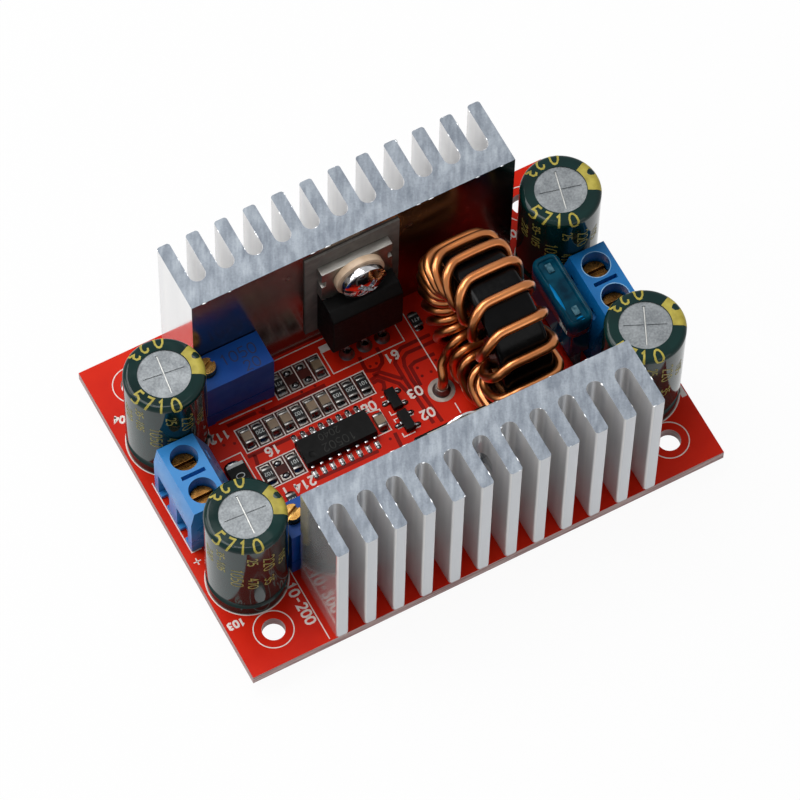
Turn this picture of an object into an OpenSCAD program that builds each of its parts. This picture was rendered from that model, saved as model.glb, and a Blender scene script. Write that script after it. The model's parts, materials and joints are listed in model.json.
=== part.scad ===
// Boost converter module: a circuit board with two finned heatsinks, a toroidal inductor,
// screw terminals, electrolytic capacitors, multi-turn trimmers and a blade fuse.
// Millimetres. X runs along the board's long side, Y along its short side, Z is up.
// The origin is under the board's centre, on the plane that the trimmed leads rest on.

/* [Board] */
// Length of the board along X
board_l = 67; // [62:0.5:80]
// Width of the board along Y
board_w = 48; // [46:0.5:60]
// Thickness of the board
board_t = 1.6; // [1:0.1:2.4]
// Length of the lead tips below the board
lead_stub = 2.4; // [1.5:0.1:4]
// Diameter of the corner mounting holes
mount_hole_d = 3; // [2:0.1:3.6]
// Mounting hole axis to the board's short edge
mount_inset_x = 5.3; // [3:0.1:7]
// Mounting hole axis to the board's long edge
mount_inset_y = 4.7; // [3:0.1:7]

/* [Heatsinks] */
// Number of fins on each heatsink
fin_count = 12; // [6:1:13]
// Thickness of a fin
fin_t = 1.75; // [1:0.05:2]
// Radius of the corners of the fin tips
fin_tip_r = 0.4; // [0.1:0.05:0.45]
// Thickness of the heatsink's base
sink_base_t = 3; // [2:0.1:4]
// Depth of the heatsink from its flat face to the fin tips
sink_depth = 9.6; // [7:0.1:10]
// Height of the heatsinks
sink_h = 23; // [22.5:0.1:30]
// Fin tips to the board's long edge
sink_edge = 0; // [0:0.05:1]
// Heatsinks' left end to the nearest output capacitor
sink_left_gap = 1.75; // [0.2:0.05:3]
// Heatsinks' right end to the nearest input capacitor
sink_right_gap = 0.25; // [0.2:0.05:3]

/* [Power packages] */
// Rear transistor to the heatsink's middle along X
mosfet_side = -0.45; // [-1:0.05:1]
// Front rectifier to the heatsink's middle along X
rectifier_side = 0.6; // [-1:0.05:1]
// Front rectifier above the rear transistor's height
rectifier_lift = 0.5; // [0:0.1:1]
// Width of the metal tab
tab_w = 10; // [9:0.1:10.6]
// Thickness of the metal tab
tab_t = 1.3; // [1:0.05:1.6]
// Height of the tab's top edge above the board
tab_top = 19.2; // [18:0.1:20]
// Height of the moulded case
case_h = 9.3; // [8:0.1:10]
// Thickness of case and tab together
case_t = 4.5; // [4:0.1:5]
// Height of the case's lower edge above the board
case_lift = 3.4; // [2:0.1:4]
// Tab hole axis below the tab's top edge
tab_hole_drop = 2.8; // [2.6:0.1:3.4]
// Distance from lead to lead
leg_pitch = 2.54; // [2.2:0.02:2.8]
// Width of a lead
leg_w = 0.8; // [0.6:0.05:1]
// Thickness of a lead
leg_t = 0.5; // [0.4:0.05:0.7]
// How far the leads are bent away from the heatsink
leg_jog = 0.9; // [0.2:0.1:1.5]
// Width of the insulating pad
pad_w = 13.3; // [12:0.1:15]
// Height of the insulating pad
pad_h = 19; // [18:0.1:20]
// Thickness of the insulating pad
pad_t = 0.3; // [0.2:0.05:0.6]
// Height of the pad's lower edge above the board
pad_lift = 2.9; // [1:0.1:3]
// Diameter of the bushing's flange
bush_d = 6.8; // [6:0.1:7.4]
// Thickness of the bushing's flange
bush_t = 1; // [0.6:0.1:1.4]
// Diameter of the screw's shank
screw_d = 2.6; // [2.2:0.1:2.8]
// Diameter of the screw's pan head
screw_head_d = 6; // [5:0.1:6.4]
// Height of the screw's pan head
screw_head_h = 2; // [1.4:0.1:2.6]
// Height of the low screw head on the front rectifier's tab
low_head_h = 0.7; // [0.5:0.1:1.2]

/* [Capacitors] */
// Diameter of a capacitor over its sleeve
cap_d = 10.4; // [8:0.1:10.6]
// Height of a capacitor above the board
cap_h = 17.9; // [12:0.1:22]
// Thickness of the printed sleeve
sleeve_t = 0.15; // [0.1:0.05:0.3]
// Diameter of the bare top that the sleeve leaves open
cap_top_d = 6.7; // [5:0.1:8]
// Distance between a capacitor's two leads
cap_lead_pitch = 5; // [3:0.1:5]
// Diameter of a capacitor's lead
cap_lead_d = 0.6; // [0.5:0.05:0.8]
// Output capacitors to the board's left edge
cap_left_edge = 0.5; // [0:0.05:1]
// Input capacitors to the board's right edge
cap_right_edge = 0.15; // [0:0.05:1]
// Rear capacitors to the ends of the terminals
cap_rear_gap = 0.12; // [0.05:0.01:1]
// Front capacitors to the ends of the terminals
cap_front_gap = 1.1; // [0.05:0.05:1.4]

/* [Screw terminals] */
// Distance from pole to pole
term_pitch = 5.08; // [5:0.02:5.2]
// Depth of the housing from back to wire face
term_depth = 7.6; // [7.4:0.05:7.9]
// Height of the housing
term_h = 10; // [9.5:0.1:12]
// Wire faces to the board's short edges
term_edge = 1.25; // [0.8:0.05:2]
// Width of the top face
term_top_w = 5; // [4.6:0.1:5.2]
// Diameter of the screw wells
well_d = 3.6; // [3.4:0.1:4.1]
// Diameter of the screws' heads
term_head_d = 3.25; // [3:0.05:3.6]
// Width of a wire entry
entry_w = 3; // [2.5:0.1:3.2]
// Upward travel of a cage from open to closed
cage_travel = 1.7; // [1:0.1:1.8]

/* [Fuse] */
// Width of the fuse body along Y
fuse_w = 10.9; // [10:0.1:12]
// Thickness of the upper part of the fuse body
fuse_t = 3.7; // [3.2:0.1:4]
// Thickness of the lower part of the fuse body
fuse_waist_t = 3; // [2.4:0.1:3.4]
// Height of the fuse body
fuse_body_h = 8.8; // [8:0.1:10]
// Height of the fuse body's lower edge above the board
fuse_lift = 3.8; // [2:0.1:5]
// Distance between the two blades
blade_pitch = 6.8; // [6:0.1:7.4]
// Width of a blade
blade_w = 2.8; // [2:0.1:3]
// Thickness of a blade
blade_t = 0.8; // [0.6:0.05:1]

/* [Inductor] */
// Outer diameter of the core
core_od = 21.1; // [18:0.1:22]
// Inner diameter of the core
core_id = 12.1; // [11:0.1:13]
// Width of the core along X
core_w = 7.1; // [5:0.1:8]
// Diameter of the winding wire
wire_d = 1.3; // [0.8:0.05:1.35]
// Number of turns over the rim
turns = 18; // [8:1:18]
// Middle of the core to the middle of the room between rear transistor and fuse
core_side = -1.2; // [-1.3:0.05:0]
// Middle of the core along Y
core_y = 0.4; // [-1:0.1:1]
// Radius of the winding's bends on the core's right side
bend_r = 1.5; // [1:0.1:1.5]
// Radius of the wider loops on the core's left side
loop_r = 2.1; // [1:0.1:2.1]
// How far the loops stand off the core's left side
loop_off = 0.6; // [0.6:0.05:0.8]
// Wire pads to the core's flat sides
wire_pad_gap = 3.3; // [3:0.05:4]

/* [Trimmers] */
// Length of a trimmer along X
trim_l = 9.53; // [9:0.01:10]
// Width of a trimmer along Y
trim_w = 4.83; // [4.4:0.01:5.2]
// Height of a trimmer's housing
trim_h = 9.3; // [8:0.1:12]
// Height of the feet under a trimmer
trim_lift = 0.4; // [0.3:0.1:1]
// Diameter of the adjusting screw
trim_screw_d = 2.3; // [1.8:0.1:2.6]
// Height of the adjusting screw above the housing
trim_screw_rise = 1.2; // [0.6:0.1:2]
// Rear trimmer to the rear heatsink
trim_rear_gap = 0.1; // [0.05:0.05:1]
// Front trimmer to the front heatsink
trim_front_gap = 0.9; // [0.05:0.05:2]
// Trimmers to the capacitors' sleeves
trim_cap_gap = 0.05; // [0.05:0.05:2]

/* [Small parts] */
// Length of the controller chip
chip_l = 9.9; // [9.4:0.1:10.3]
// Width of the controller chip
chip_w = 3.9; // [3.5:0.1:4.2]
// Height of the controller chip
chip_h = 1.6; // [1.3:0.1:2]
// Distance between the controller's leads
chip_pitch = 1.27; // [1.1:0.01:1.3]
// Length of a chip resistor or capacitor
smd_l = 2; // [1.6:0.1:2.4]
// Width of a chip resistor or capacitor
smd_w = 1.25; // [0.8:0.05:1.4]
// Height of a chip resistor
res_h = 0.5; // [0.4:0.05:0.8]
// Height of a chip capacitor
ccap_h = 0.95; // [0.6:0.05:1.4]
// Distance between chips in a row
smd_pitch = 1.84; // [1.7:0.01:2]

/* [Hidden] */
$fn = 48;
// Radial clearance between pieces that only sit in each other
seat = 0.02;
// Radial running clearance of the turning pieces
run = 0.05;
// Extra length of a cut past the face that it opens
over = 0.5;
// Height of the board's top face
zt = lead_stub + board_t;
mount_x = board_l / 2 - mount_inset_x;
mount_y = board_w / 2 - mount_inset_y;

// Capacitors, in the order output front, output rear, input front, input rear
cap_r = cap_d / 2;
can_r = cap_r - sleeve_t - seat;
cap_left_x = -board_l / 2 + cap_left_edge + cap_r;
cap_right_x = board_l / 2 - cap_right_edge - cap_r;
term_len = 2 * term_pitch;
cap_rear_y = term_len / 2 + cap_rear_gap + cap_r;
cap_front_y = term_len / 2 + cap_front_gap + cap_r;
cap_spots = [
    [cap_left_x, -cap_front_y],
    [cap_left_x, cap_rear_y],
    [cap_right_x, -cap_front_y],
    [cap_right_x, cap_rear_y]
];
score_turns = [86, 83, 65, 76];
bung_t = 0.6;
bead_z = 2.4;
bead_depth = 0.35;
bead_r = 0.9;
shoulder_r = 0.7;
lip_t = sleeve_t;

// Heatsinks: they end where the capacitors beside them reach over the line of their flat faces
sink_face = board_w / 2 - sink_edge - sink_depth;
cap_over = max(sink_face - cap_front_y, 0);
cap_chord = sqrt(max(cap_r * cap_r - cap_over * cap_over, 0));
sink_left = cap_left_x + cap_chord + sink_left_gap;
sink_right = cap_right_x - cap_chord - sink_right_gap;
sink_len = sink_right - sink_left;
sink_x = (sink_left + sink_right) / 2;
fin_pitch = (sink_len - fin_t) / (fin_count - 1);
fin_gap = fin_pitch - fin_t;
tap_d = screw_d + 2 * seat;

// Power packages, in a frame whose Y axis points from the heatsink's face to the board's middle
tab_front = pad_t + tab_t;
tab_hole_z = tab_top - tab_hole_drop;
tab_hole_d = screw_d + 1;
case_top = case_lift + case_h;
case_front = pad_t + case_t;
tab_shoulder = 0.8;
tab_root_w = tab_w - 2 * tab_shoulder;
leg_depth = 0.58;
leg_exit = pad_t + case_t * leg_depth;
leg_foot = leg_exit + leg_jog;
head_seat = tab_front + bush_t;
mosfet_brow = 1.2;
rectifier_brow = 0.3;
pan_crown = 0.9;
low_crown = low_head_h * 0.6;
screw_tip = sink_base_t;

// Screw terminals, in a frame whose X axis points from the back to the wire face
term_back = board_l / 2 - term_edge - term_depth;
term_lean = 0.5;
term_top_out = term_depth - term_lean;
term_top_in = term_top_out - term_top_w;
term_skirt_h = 2.8;
term_skirt_z = term_h - term_skirt_h;
term_slope_z = 4.5;
well_u = term_top_in + term_top_w / 2;
plate_z = 3.2;
plate_t = 0.7;
cage_wall = 0.6;
cage_nut_t = 0.8;
cage_floor_z = 0.7;
cage_play = 0.1;
cage_side_play = 0.15;
cage_back_play = 0.35;
cage_top_z = plate_z + plate_t + cage_play + cage_nut_t;
cage_lap = 0.4;
cage_w = entry_w + 2 * cage_lap;
cage_l = 3.7;
chamber_w = cage_w + 2 * cage_side_play;
chamber_top = cage_top_z + cage_travel + cage_play;
chamber_in = well_u - cage_l / 2 - cage_back_play - plate_t - cage_play;
chamber_out = well_u + cage_l / 2 + cage_back_play;
term_head_h = 1.3;
term_head_z = chamber_top + cage_play;
term_pin_u = chamber_in + cage_play + plate_t / 2;
term_pin_w = 1;

// Fuse, beside the back of the input terminal
fuse_gap = 0.05;
fuse_x = term_back - fuse_gap - fuse_waist_t / 2;
fuse_y = 0.3;
fuse_flange_h = 3.4;
fuse_top = fuse_lift + fuse_body_h;

// Inductor
core_x = (sink_x + mosfet_side + pad_w / 2 + fuse_x - fuse_t / 2) / 2 + core_side;
wire_r = wire_d / 2;
core_lift = 0.1;
core_z = core_od / 2 + wire_d + core_lift;
wire_gap = 0.06;
in_r = core_id / 2 - wire_r - wire_gap;
out_r = core_od / 2 + wire_r + wire_gap;
side_x = core_w / 2 + wire_r + wire_gap;
wire_pad_reach = core_w / 2 + wire_pad_gap;
rim_bow = 0.1;
bend_steps = 3;
loop_x = side_x + loop_off;
// How far the last turn leads on round the hole before it leaves
tail_turn = 15;
turn_start = -64;
turn_span = 327;
// Smallest angle between turns that touch in the hole, and how many turns that leaves room for
turn_slack = 1.005;
turn_touch = 2 * asin(wire_d * turn_slack / (2 * in_r));
turn_count = min(turns, floor(turn_span / turn_touch) + 1);
turn_bunch = (turn_span - turn_touch * (turn_count - 1)) / PI;
wire_sides = 8;

// Trimmers
trim_x = cap_left_x + cap_r + trim_cap_gap + trim_l / 2;
trim_rear_y = sink_face - trim_rear_gap - trim_w / 2;
trim_front_y = -(sink_face - trim_front_gap - trim_w / 2);
trim_screw_inset = 1.5;
trim_screw_side = 0.35;
trim_bore_deep = 3;
trim_bore_z = trim_lift + trim_h - trim_bore_deep;
trim_pin_d = 0.6;
trim_pin_pitch = 2.54;

// Controller and the small parts around it
chip_at = [(core_x - wire_pad_reach - term_back) / 2 + 0.1, 0.1];
chip_end = chip_l / 2;
chip_legs = 8;
chip_stand = 0.15;
row_b_gap = 0.5;
row_a_reach = 4.8;
row_a = [chip_at[0] - chip_end - row_a_reach, 5.67];
row_b = [trim_x + trim_l / 2 + row_b_gap + smd_w / 2, 10.6];
row_c_kinds = ["r", "", "r"];
row_c_gap = 0.45;
row_c_end = chip_at[0] - chip_end - row_c_gap - smd_w / 2;
row_c = [row_c_end - (len(row_c_kinds) - 1) * smd_pitch, -0.15];
// Chips along Y, each with its place and kind: "r" for a resistor, "c" for a capacitor
row_a_kinds = ["c", "r", "c", "c", "r", "c", "c", "r", "r", "r"];
row_b_kinds = ["r", "", "", "c"];
chips = concat(
    row_chips(row_a, row_a_kinds),
    row_chips(row_b, row_b_kinds),
    row_chips(row_c, row_c_kinds),
    [
        ["c", chip_at[0] + chip_end + 0.6 + smd_w / 2, -0.1],
        ["r", core_x - core_w / 2 - 1.6, 10.6],
        ["r", trim_x, trim_front_y + trim_w / 2 + smd_l / 2 + 2.9]
    ]
);
sot_x = chip_at[0] + chip_end + 4.2;
sot_spots = [[sot_x, 1.9], [sot_x, -1.55]];
sot_l = 2.9;
sot_w = 1.3;
sot_h = 1;
diode_l = 4.2;
diode_w = 2.6;
diode_h = 1.6;
diode_gap = 1;
diode_at = [-term_back + diode_gap + diode_w / 2, 0.8];

// Soldered leads: place, lead radius and whether the solder also wets the top side
solder_h = 1;
solder_foot = 0.55;
lead_spots = concat(
    [for (p = cap_spots) for (s = [-1, 1]) [p[0] + s * cap_lead_pitch / 2, p[1], cap_lead_d / 2, false]],
    [for (e = [-1, 1]) for (s = [-1, 1])
        [e * (term_back + term_pin_u), s * term_pitch / 2, norm([term_pin_w, plate_t]) / 2, false]],
    [for (y = [trim_rear_y, trim_front_y]) for (k = [-1, 0, 1])
        [trim_x + k * trim_pin_pitch, y, trim_pin_d / 2, false]],
    [for (e = [-1, 1]) [core_x + e * wire_pad_reach, core_y, wire_r, true]],
    [for (e = [-1, 1]) for (k = [-1, 0, 1])
        [package_x(e) + k * leg_pitch, e * (sink_face - leg_foot), norm([leg_w, leg_t]) / 2, true]]
);

// Middle of the rear (1) or front (-1) power package along X
function package_x(e) = sink_x + (e > 0 ? mosfet_side : rectifier_side);

// Places of the chips in one row, from its first place and the kinds along it
function row_chips(first, kinds) = [
    for (i = [0:len(kinds) - 1])
        if (kinds[i] != "")
            [kinds[i], first[0] + i * smd_pitch, first[1]]
];

// A box centred in X and Y, standing on z
module slab(size, z = 0) {
    translate([-size[0] / 2, -size[1] / 2, z])
        cube(size);
}

// Board
module circuit_board() {
    color([0.72, 0.09, 0.05])
        difference() {
            slab([board_l, board_w, board_t], lead_stub);
            for (x = [-mount_x, mount_x])
                for (y = [-mount_y, mount_y])
                    translate([x, y, lead_stub - over])
                        cylinder(d = mount_hole_d, h = board_t + 2 * over);
            for (s = lead_spots)
                translate([s[0], s[1], lead_stub - over])
                    cylinder(r = s[2] + seat, h = board_t + 2 * over);
            for (s = [-1, 1])
                translate([fuse_x, fuse_y + s * blade_pitch / 2, 0])
                    slab([blade_t + 2 * seat, blade_w + 2 * seat, board_t + 2 * over], lead_stub - over);
        }
}

// Solder cones under the board, and on top where the photograph shows them
module solder_joints() {
    bank_h = solder_h / 2;
    color([0.75, 0.76, 0.78]) {
        for (s = lead_spots) {
            translate([s[0], s[1], lead_stub])
                mirror([0, 0, 1])
                    solder_cone(s[2]);
            if (s[3])
                translate([s[0], s[1], zt])
                    solder_cone(s[2]);
        }
        for (s = [-1, 1])
            translate([fuse_x, fuse_y + s * blade_pitch / 2, 0])
                difference() {
                    slab([blade_t + 2 * solder_foot, blade_w + 2 * solder_foot, bank_h], lead_stub - bank_h);
                    slab([blade_t + 2 * seat, blade_w + 2 * seat, solder_h + over], lead_stub - solder_h);
                }
    }
}

// A concave-looking cone of solder round a lead of radius r
module solder_cone(r) {
    bore = r + seat;
    rotate_extrude()
        polygon([
            [bore, 0],
            [bore + solder_foot, 0],
            [bore + solder_foot * 0.45, solder_h * 0.4],
            [bore + solder_foot * 0.2, solder_h],
            [bore, solder_h]
        ]);
}

// Heatsinks
// A fin from the flat face to its tip, centred on X = 0
module fin_profile() {
    translate([-fin_t / 2, 0])
        square([fin_t, sink_depth - fin_tip_r]);
    translate([-fin_t / 2 + fin_tip_r, 0])
        square([fin_t - 2 * fin_tip_r, sink_depth]);
    for (s = [-1, 1])
        translate([s * (fin_t / 2 - fin_tip_r), sink_depth - fin_tip_r])
            circle(r = fin_tip_r);
}

// A base with fins on it, the roots between the fins round
module heatsink_profile() {
    root_y = sink_base_t + fin_gap / 2;
    difference() {
        translate([-sink_len / 2, 0])
            square([sink_len, root_y]);
        for (i = [0:fin_count - 2])
            translate([-sink_len / 2 + fin_t + fin_gap / 2 + i * fin_pitch, root_y])
                circle(d = fin_gap);
    }
    for (i = [0:fin_count - 1])
        translate([-sink_len / 2 + fin_t / 2 + i * fin_pitch, 0])
            fin_profile();
}

// A heatsink with its flat face on Y = 0 and its fins towards -Y, tapped for a screw at x and z
module heatsink(x, z) {
    color([0.78, 0.79, 0.8])
        difference() {
            mirror([0, 1, 0])
                linear_extrude(sink_h)
                    heatsink_profile();
            translate([x, over, z])
                rotate([90, 0, 0])
                    cylinder(d = tap_d, h = sink_base_t + fin_gap + over);
        }
}

// Places with Y pointing from a heatsink's flat face to the board's middle
module rear_seat(x) {
    translate([x, sink_face, zt])
        mirror([0, 1, 0])
            children();
}

module front_seat(x) {
    translate([x, -sink_face, zt])
        children();
}

module rear_heatsink() {
    rear_seat(sink_x)
        heatsink(mosfet_side, tab_hole_z);
}

module front_heatsink() {
    front_seat(sink_x)
        heatsink(rectifier_side, tab_hole_z + rectifier_lift);
}

// Power packages
module package_insulator() {
    color([0.42, 0.4, 0.39])
        difference() {
            translate([0, pad_t / 2, 0])
                slab([pad_w, pad_t, pad_h], pad_lift);
            translate([0, pad_t + over, tab_hole_z])
                rotate([90, 0, 0])
                    cylinder(d = tab_hole_d, h = pad_t + 2 * over);
        }
}

// Metal tab: a drilled plate with a notch in each side and a narrower root inside the case
module package_tab() {
    notch = 0.6;
    notch_h = 1.2;
    notch_z = tab_hole_z - 0.4;
    color([0.72, 0.72, 0.7])
        translate([0, tab_front, 0])
            rotate([90, 0, 0])
                linear_extrude(tab_t)
                    difference() {
                        union() {
                            translate([-tab_w / 2, case_top])
                                square([tab_w, tab_top - case_top]);
                            translate([-tab_root_w / 2, case_lift + 1])
                                square([tab_root_w, case_top - case_lift - 1]);
                        }
                        translate([0, tab_hole_z])
                            circle(d = tab_hole_d);
                        for (s = [-1, 1])
                            translate([s * tab_w / 2 - notch, notch_z])
                                square([2 * notch, notch_h]);
                    }
}

// Moulded case with its upper edge cut back by the brow, and a pocket for the tab's root
module package_case(brow) {
    slope = 0.5;
    color([0.05, 0.05, 0.055])
        difference() {
            translate([-tab_w / 2, 0, 0])
                rotate([90, 0, 90])
                    linear_extrude(tab_w)
                        polygon([
                            [pad_t, case_lift],
                            [case_front - slope, case_lift],
                            [case_front, case_lift + slope],
                            [case_front, case_top - brow],
                            [case_front - brow, case_top],
                            [pad_t, case_top]
                        ]);
            translate([0, tab_front / 2, 0])
                slab([tab_root_w + 2 * seat, tab_front + 2 * seat, case_h], case_lift + 1 - seat);
        }
}

// Three flat leads, bent once on their way to the board, longer by the height the case is lifted
module package_leads(lift) {
    bend_z = case_lift - 0.9;
    straight_z = 1 - lift;
    tip_z = -zt - lift;
    color([0.7, 0.7, 0.7])
        for (k = [-1, 0, 1])
            translate([k * leg_pitch - leg_w / 2, 0, 0])
                rotate([90, 0, 90])
                    linear_extrude(leg_w)
                        polygon([
                            [leg_exit - leg_t / 2, case_lift],
                            [leg_exit - leg_t / 2, bend_z],
                            [leg_foot - leg_t / 2, straight_z],
                            [leg_foot - leg_t / 2, tip_z],
                            [leg_foot + leg_t / 2, tip_z],
                            [leg_foot + leg_t / 2, straight_z],
                            [leg_exit + leg_t / 2, bend_z],
                            [leg_exit + leg_t / 2, case_lift]
                        ]);
}

// Insulating bushing: a flange on the tab and a sleeve through its hole
module package_bushing() {
    bore_d = screw_d + 2 * seat;
    color([0.85, 0.72, 0.58])
        translate([0, 0, tab_hole_z])
            rotate([-90, 0, 0])
                rotate_extrude()
                    polygon([
                        [bore_d / 2, pad_t],
                        [tab_hole_d / 2 - seat, pad_t],
                        [tab_hole_d / 2 - seat, tab_front],
                        [bush_d / 2, tab_front],
                        [bush_d / 2, head_seat],
                        [bore_d / 2, head_seat]
                    ]);
}

// Screw with a cross recess, in the heatsink's tapped hole, its head standing on Y = under
module package_screw(under, head_h, crown) {
    recess_w = 0.8;
    recess_l = 3.2;
    color([0.82, 0.82, 0.84])
        translate([0, 0, tab_hole_z])
            rotate([-90, 0, 0])
                difference() {
                    union() {
                        translate([0, 0, -screw_tip])
                            cylinder(d = screw_d, h = screw_tip + under);
                        pan_head(under, head_h, crown);
                    }
                    for (a = [45, 135])
                        rotate(a)
                            slab([recess_l, recess_w, head_h], under + head_h / 2);
                }
}

// Pan head: a flat rim under a crown that is part of a sphere
module pan_head(under, head_h, crown) {
    head_r = screw_head_d / 2;
    ball_r = (head_r * head_r + crown * crown) / (2 * crown);
    intersection() {
        translate([0, 0, under])
            cylinder(r = head_r, h = head_h);
        translate([0, 0, under + head_h - ball_r])
            sphere(r = ball_r, $fn = 96);
    }
}

module mosfet_case() { rear_seat(package_x(1)) package_case(mosfet_brow); }
module mosfet_tab() { rear_seat(package_x(1)) package_tab(); }
module mosfet_leads() { rear_seat(package_x(1)) package_leads(0); }
module mosfet_insulator() { rear_seat(package_x(1)) package_insulator(); }
module mosfet_bushing() { rear_seat(package_x(1)) package_bushing(); }
module mosfet_screw() { rear_seat(package_x(1)) package_screw(head_seat, screw_head_h, pan_crown); }

module rectifier_seat() {
    front_seat(package_x(-1))
        translate([0, 0, rectifier_lift])
            children();
}

module rectifier_case() { rectifier_seat() package_case(rectifier_brow); }
module rectifier_tab() { rectifier_seat() package_tab(); }
module rectifier_leads() { rectifier_seat() package_leads(rectifier_lift); }
module rectifier_insulator() { rectifier_seat() package_insulator(); }
module rectifier_screw() { rectifier_seat() package_screw(tab_front, low_head_h, low_crown); }

// Capacitors
// Outline of the can's side at a distance t outside it, from the base up to the flat top
module can_section(t) {
    r = can_r + t;
    top = cap_h - lip_t - seat + t;
    difference() {
        union() {
            square([r, top - shoulder_r]);
            square([r - shoulder_r, top]);
            translate([r - shoulder_r, top - shoulder_r])
                circle(r = shoulder_r);
        }
        translate([can_r - bead_depth + t + bead_r, bead_z])
            circle(r = bead_r);
    }
}

// Can with a beaded foot that holds the bung, and a cross scored into its top
module capacitor_can(i) {
    score_l = cap_top_d - 1.2;
    score_w = 0.35;
    score_deep = 0.12;
    color([0.66, 0.67, 0.69])
        translate([cap_spots[i][0], cap_spots[i][1], zt])
            difference() {
                rotate_extrude()
                    difference() {
                        can_section(0);
                        translate([-over, -over])
                            square([can_r - bead_depth + over, bung_t + over]);
                    }
                for (a = [0, 90])
                    rotate(score_turns[i] + a)
                        slab([score_l, score_w, over], cap_h - lip_t - seat - score_deep);
            }
}

module capacitor_sleeve(i) {
    color([0.06, 0.17, 0.16])
        translate([cap_spots[i][0], cap_spots[i][1], zt])
            rotate_extrude()
                difference() {
                    can_section(seat + sleeve_t);
                    can_section(seat);
                    translate([-over, -over])
                        square([cap_top_d / 2 + over, cap_h + 2 * over]);
                }
}

module capacitor_bungs() {
    color([0.08, 0.08, 0.08])
        for (p = cap_spots)
            translate([p[0], p[1], zt])
                difference() {
                    cylinder(r = can_r - bead_depth - seat, h = bung_t);
                    for (s = [-1, 1])
                        translate([s * cap_lead_pitch / 2, 0, -over])
                            cylinder(r = cap_lead_d / 2 + seat, h = bung_t + 2 * over);
                }
}

module capacitor_leads() {
    color([0.72, 0.72, 0.73])
        for (p = cap_spots)
            for (s = [-1, 1])
                translate([p[0] + s * cap_lead_pitch / 2, p[1], 0])
                    cylinder(d = cap_lead_d, h = zt + bung_t);
}

module output_front_capacitor_can() { capacitor_can(0); }
module output_rear_capacitor_can() { capacitor_can(1); }
module input_front_capacitor_can() { capacitor_can(2); }
module input_rear_capacitor_can() { capacitor_can(3); }
module output_front_capacitor_sleeve() { capacitor_sleeve(0); }
module output_rear_capacitor_sleeve() { capacitor_sleeve(1); }
module input_front_capacitor_sleeve() { capacitor_sleeve(2); }
module input_rear_capacitor_sleeve() { capacitor_sleeve(3); }

// Screw terminals
// Places with X pointing from the back of a terminal to its wire face
module output_seat() {
    translate([-term_back, 0, zt])
        mirror([1, 0, 0])
            children();
}

module input_seat() {
    translate([term_back, 0, zt])
        children();
}

module terminal_side() {
    polygon([
        [0, 0],
        [term_depth, 0],
        [term_depth, term_skirt_z],
        [term_top_out, term_h],
        [term_top_in, term_h],
        [0, term_slope_z]
    ]);
}

module terminal_housing() {
    slot_w = 0.55;
    slot_l = 3.3;
    slot_deep = 1.2;
    lip_z = 0.6;
    entry_top = cage_top_z + 0.3;
    foot_gap_w = 1.4;
    window = [1.2, 1.5, 0.9];
    color([0.16, 0.42, 0.68])
        difference() {
            translate([0, term_len / 2, 0])
                rotate([90, 0, 0])
                    linear_extrude(term_len)
                        terminal_side();
            for (s = [-1, 1])
                translate([0, s * term_pitch / 2, 0]) {
                    translate([well_u, 0, chamber_top - over])
                        cylinder(d = well_d, h = term_h - chamber_top + 2 * over);
                    translate([chamber_in, -chamber_w / 2, cage_floor_z - cage_play])
                        cube([chamber_out - chamber_in, chamber_w, chamber_top - cage_floor_z + cage_play]);
                    translate([well_u, -entry_w / 2, lip_z])
                        cube([term_depth, entry_w, entry_top - lip_z]);
                    translate([term_depth - 0.8, -foot_gap_w / 2, -over])
                        cube([1 + over, foot_gap_w, lip_z + 2 * over]);
                    translate([term_pin_u, 0, 0])
                        slab([plate_t + 2 * seat, term_pin_w + 2 * seat, plate_z], -over);
                    translate([term_top_in - window[0], -window[1] / 2, term_h - 2 * window[2] - 0.6])
                        cube(window);
                }
            translate([well_u, 0, 0])
                slab([slot_l, slot_w, slot_deep + over], term_h - slot_deep);
        }
}

// Slotted captive screw of one pole, s is -1 or 1
module terminal_screw(s) {
    slot_w = 0.7;
    slot_deep = 0.8;
    tip_z = plate_z + plate_t + run;
    color([0.62, 0.48, 0.3])
        translate([well_u, s * term_pitch / 2, 0])
            difference() {
                union() {
                    translate([0, 0, tip_z])
                        cylinder(d = screw_d, h = term_head_z - tip_z);
                    translate([0, 0, term_head_z])
                        cylinder(d = term_head_d, h = term_head_h);
                }
                slab([term_head_d + over, slot_w, slot_deep + over], term_head_z + term_head_h - slot_deep);
            }
}

// Rising cage of one pole: a square band with a tapped upper wall
module terminal_cage(s) {
    inner_w = cage_w - 2 * cage_wall;
    inner_h = cage_top_z - cage_nut_t - cage_floor_z - cage_wall;
    color([0.74, 0.7, 0.6])
        translate([well_u, s * term_pitch / 2, 0])
            difference() {
                slab([cage_l, cage_w, cage_top_z - cage_floor_z], cage_floor_z);
                slab([cage_l + over, inner_w, inner_h], cage_floor_z + cage_wall);
                cylinder(d = screw_d + 2 * run, h = term_h);
            }
}

// Contact pins: a plate over the wire, bent down behind the cage and through the board
module terminal_pins() {
    plate_w = cage_w - 2 * cage_wall - 0.4;
    plate_end = well_u + cage_l / 2;
    color([0.75, 0.75, 0.75])
        for (s = [-1, 1])
            translate([0, s * term_pitch / 2, 0]) {
                translate([term_pin_u - plate_t / 2, -plate_w / 2, plate_z])
                    cube([plate_end - term_pin_u + plate_t / 2, plate_w, plate_t]);
                translate([term_pin_u, 0, 0])
                    slab([plate_t, term_pin_w, zt + plate_z + plate_t / 2], -zt);
            }
}

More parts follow.
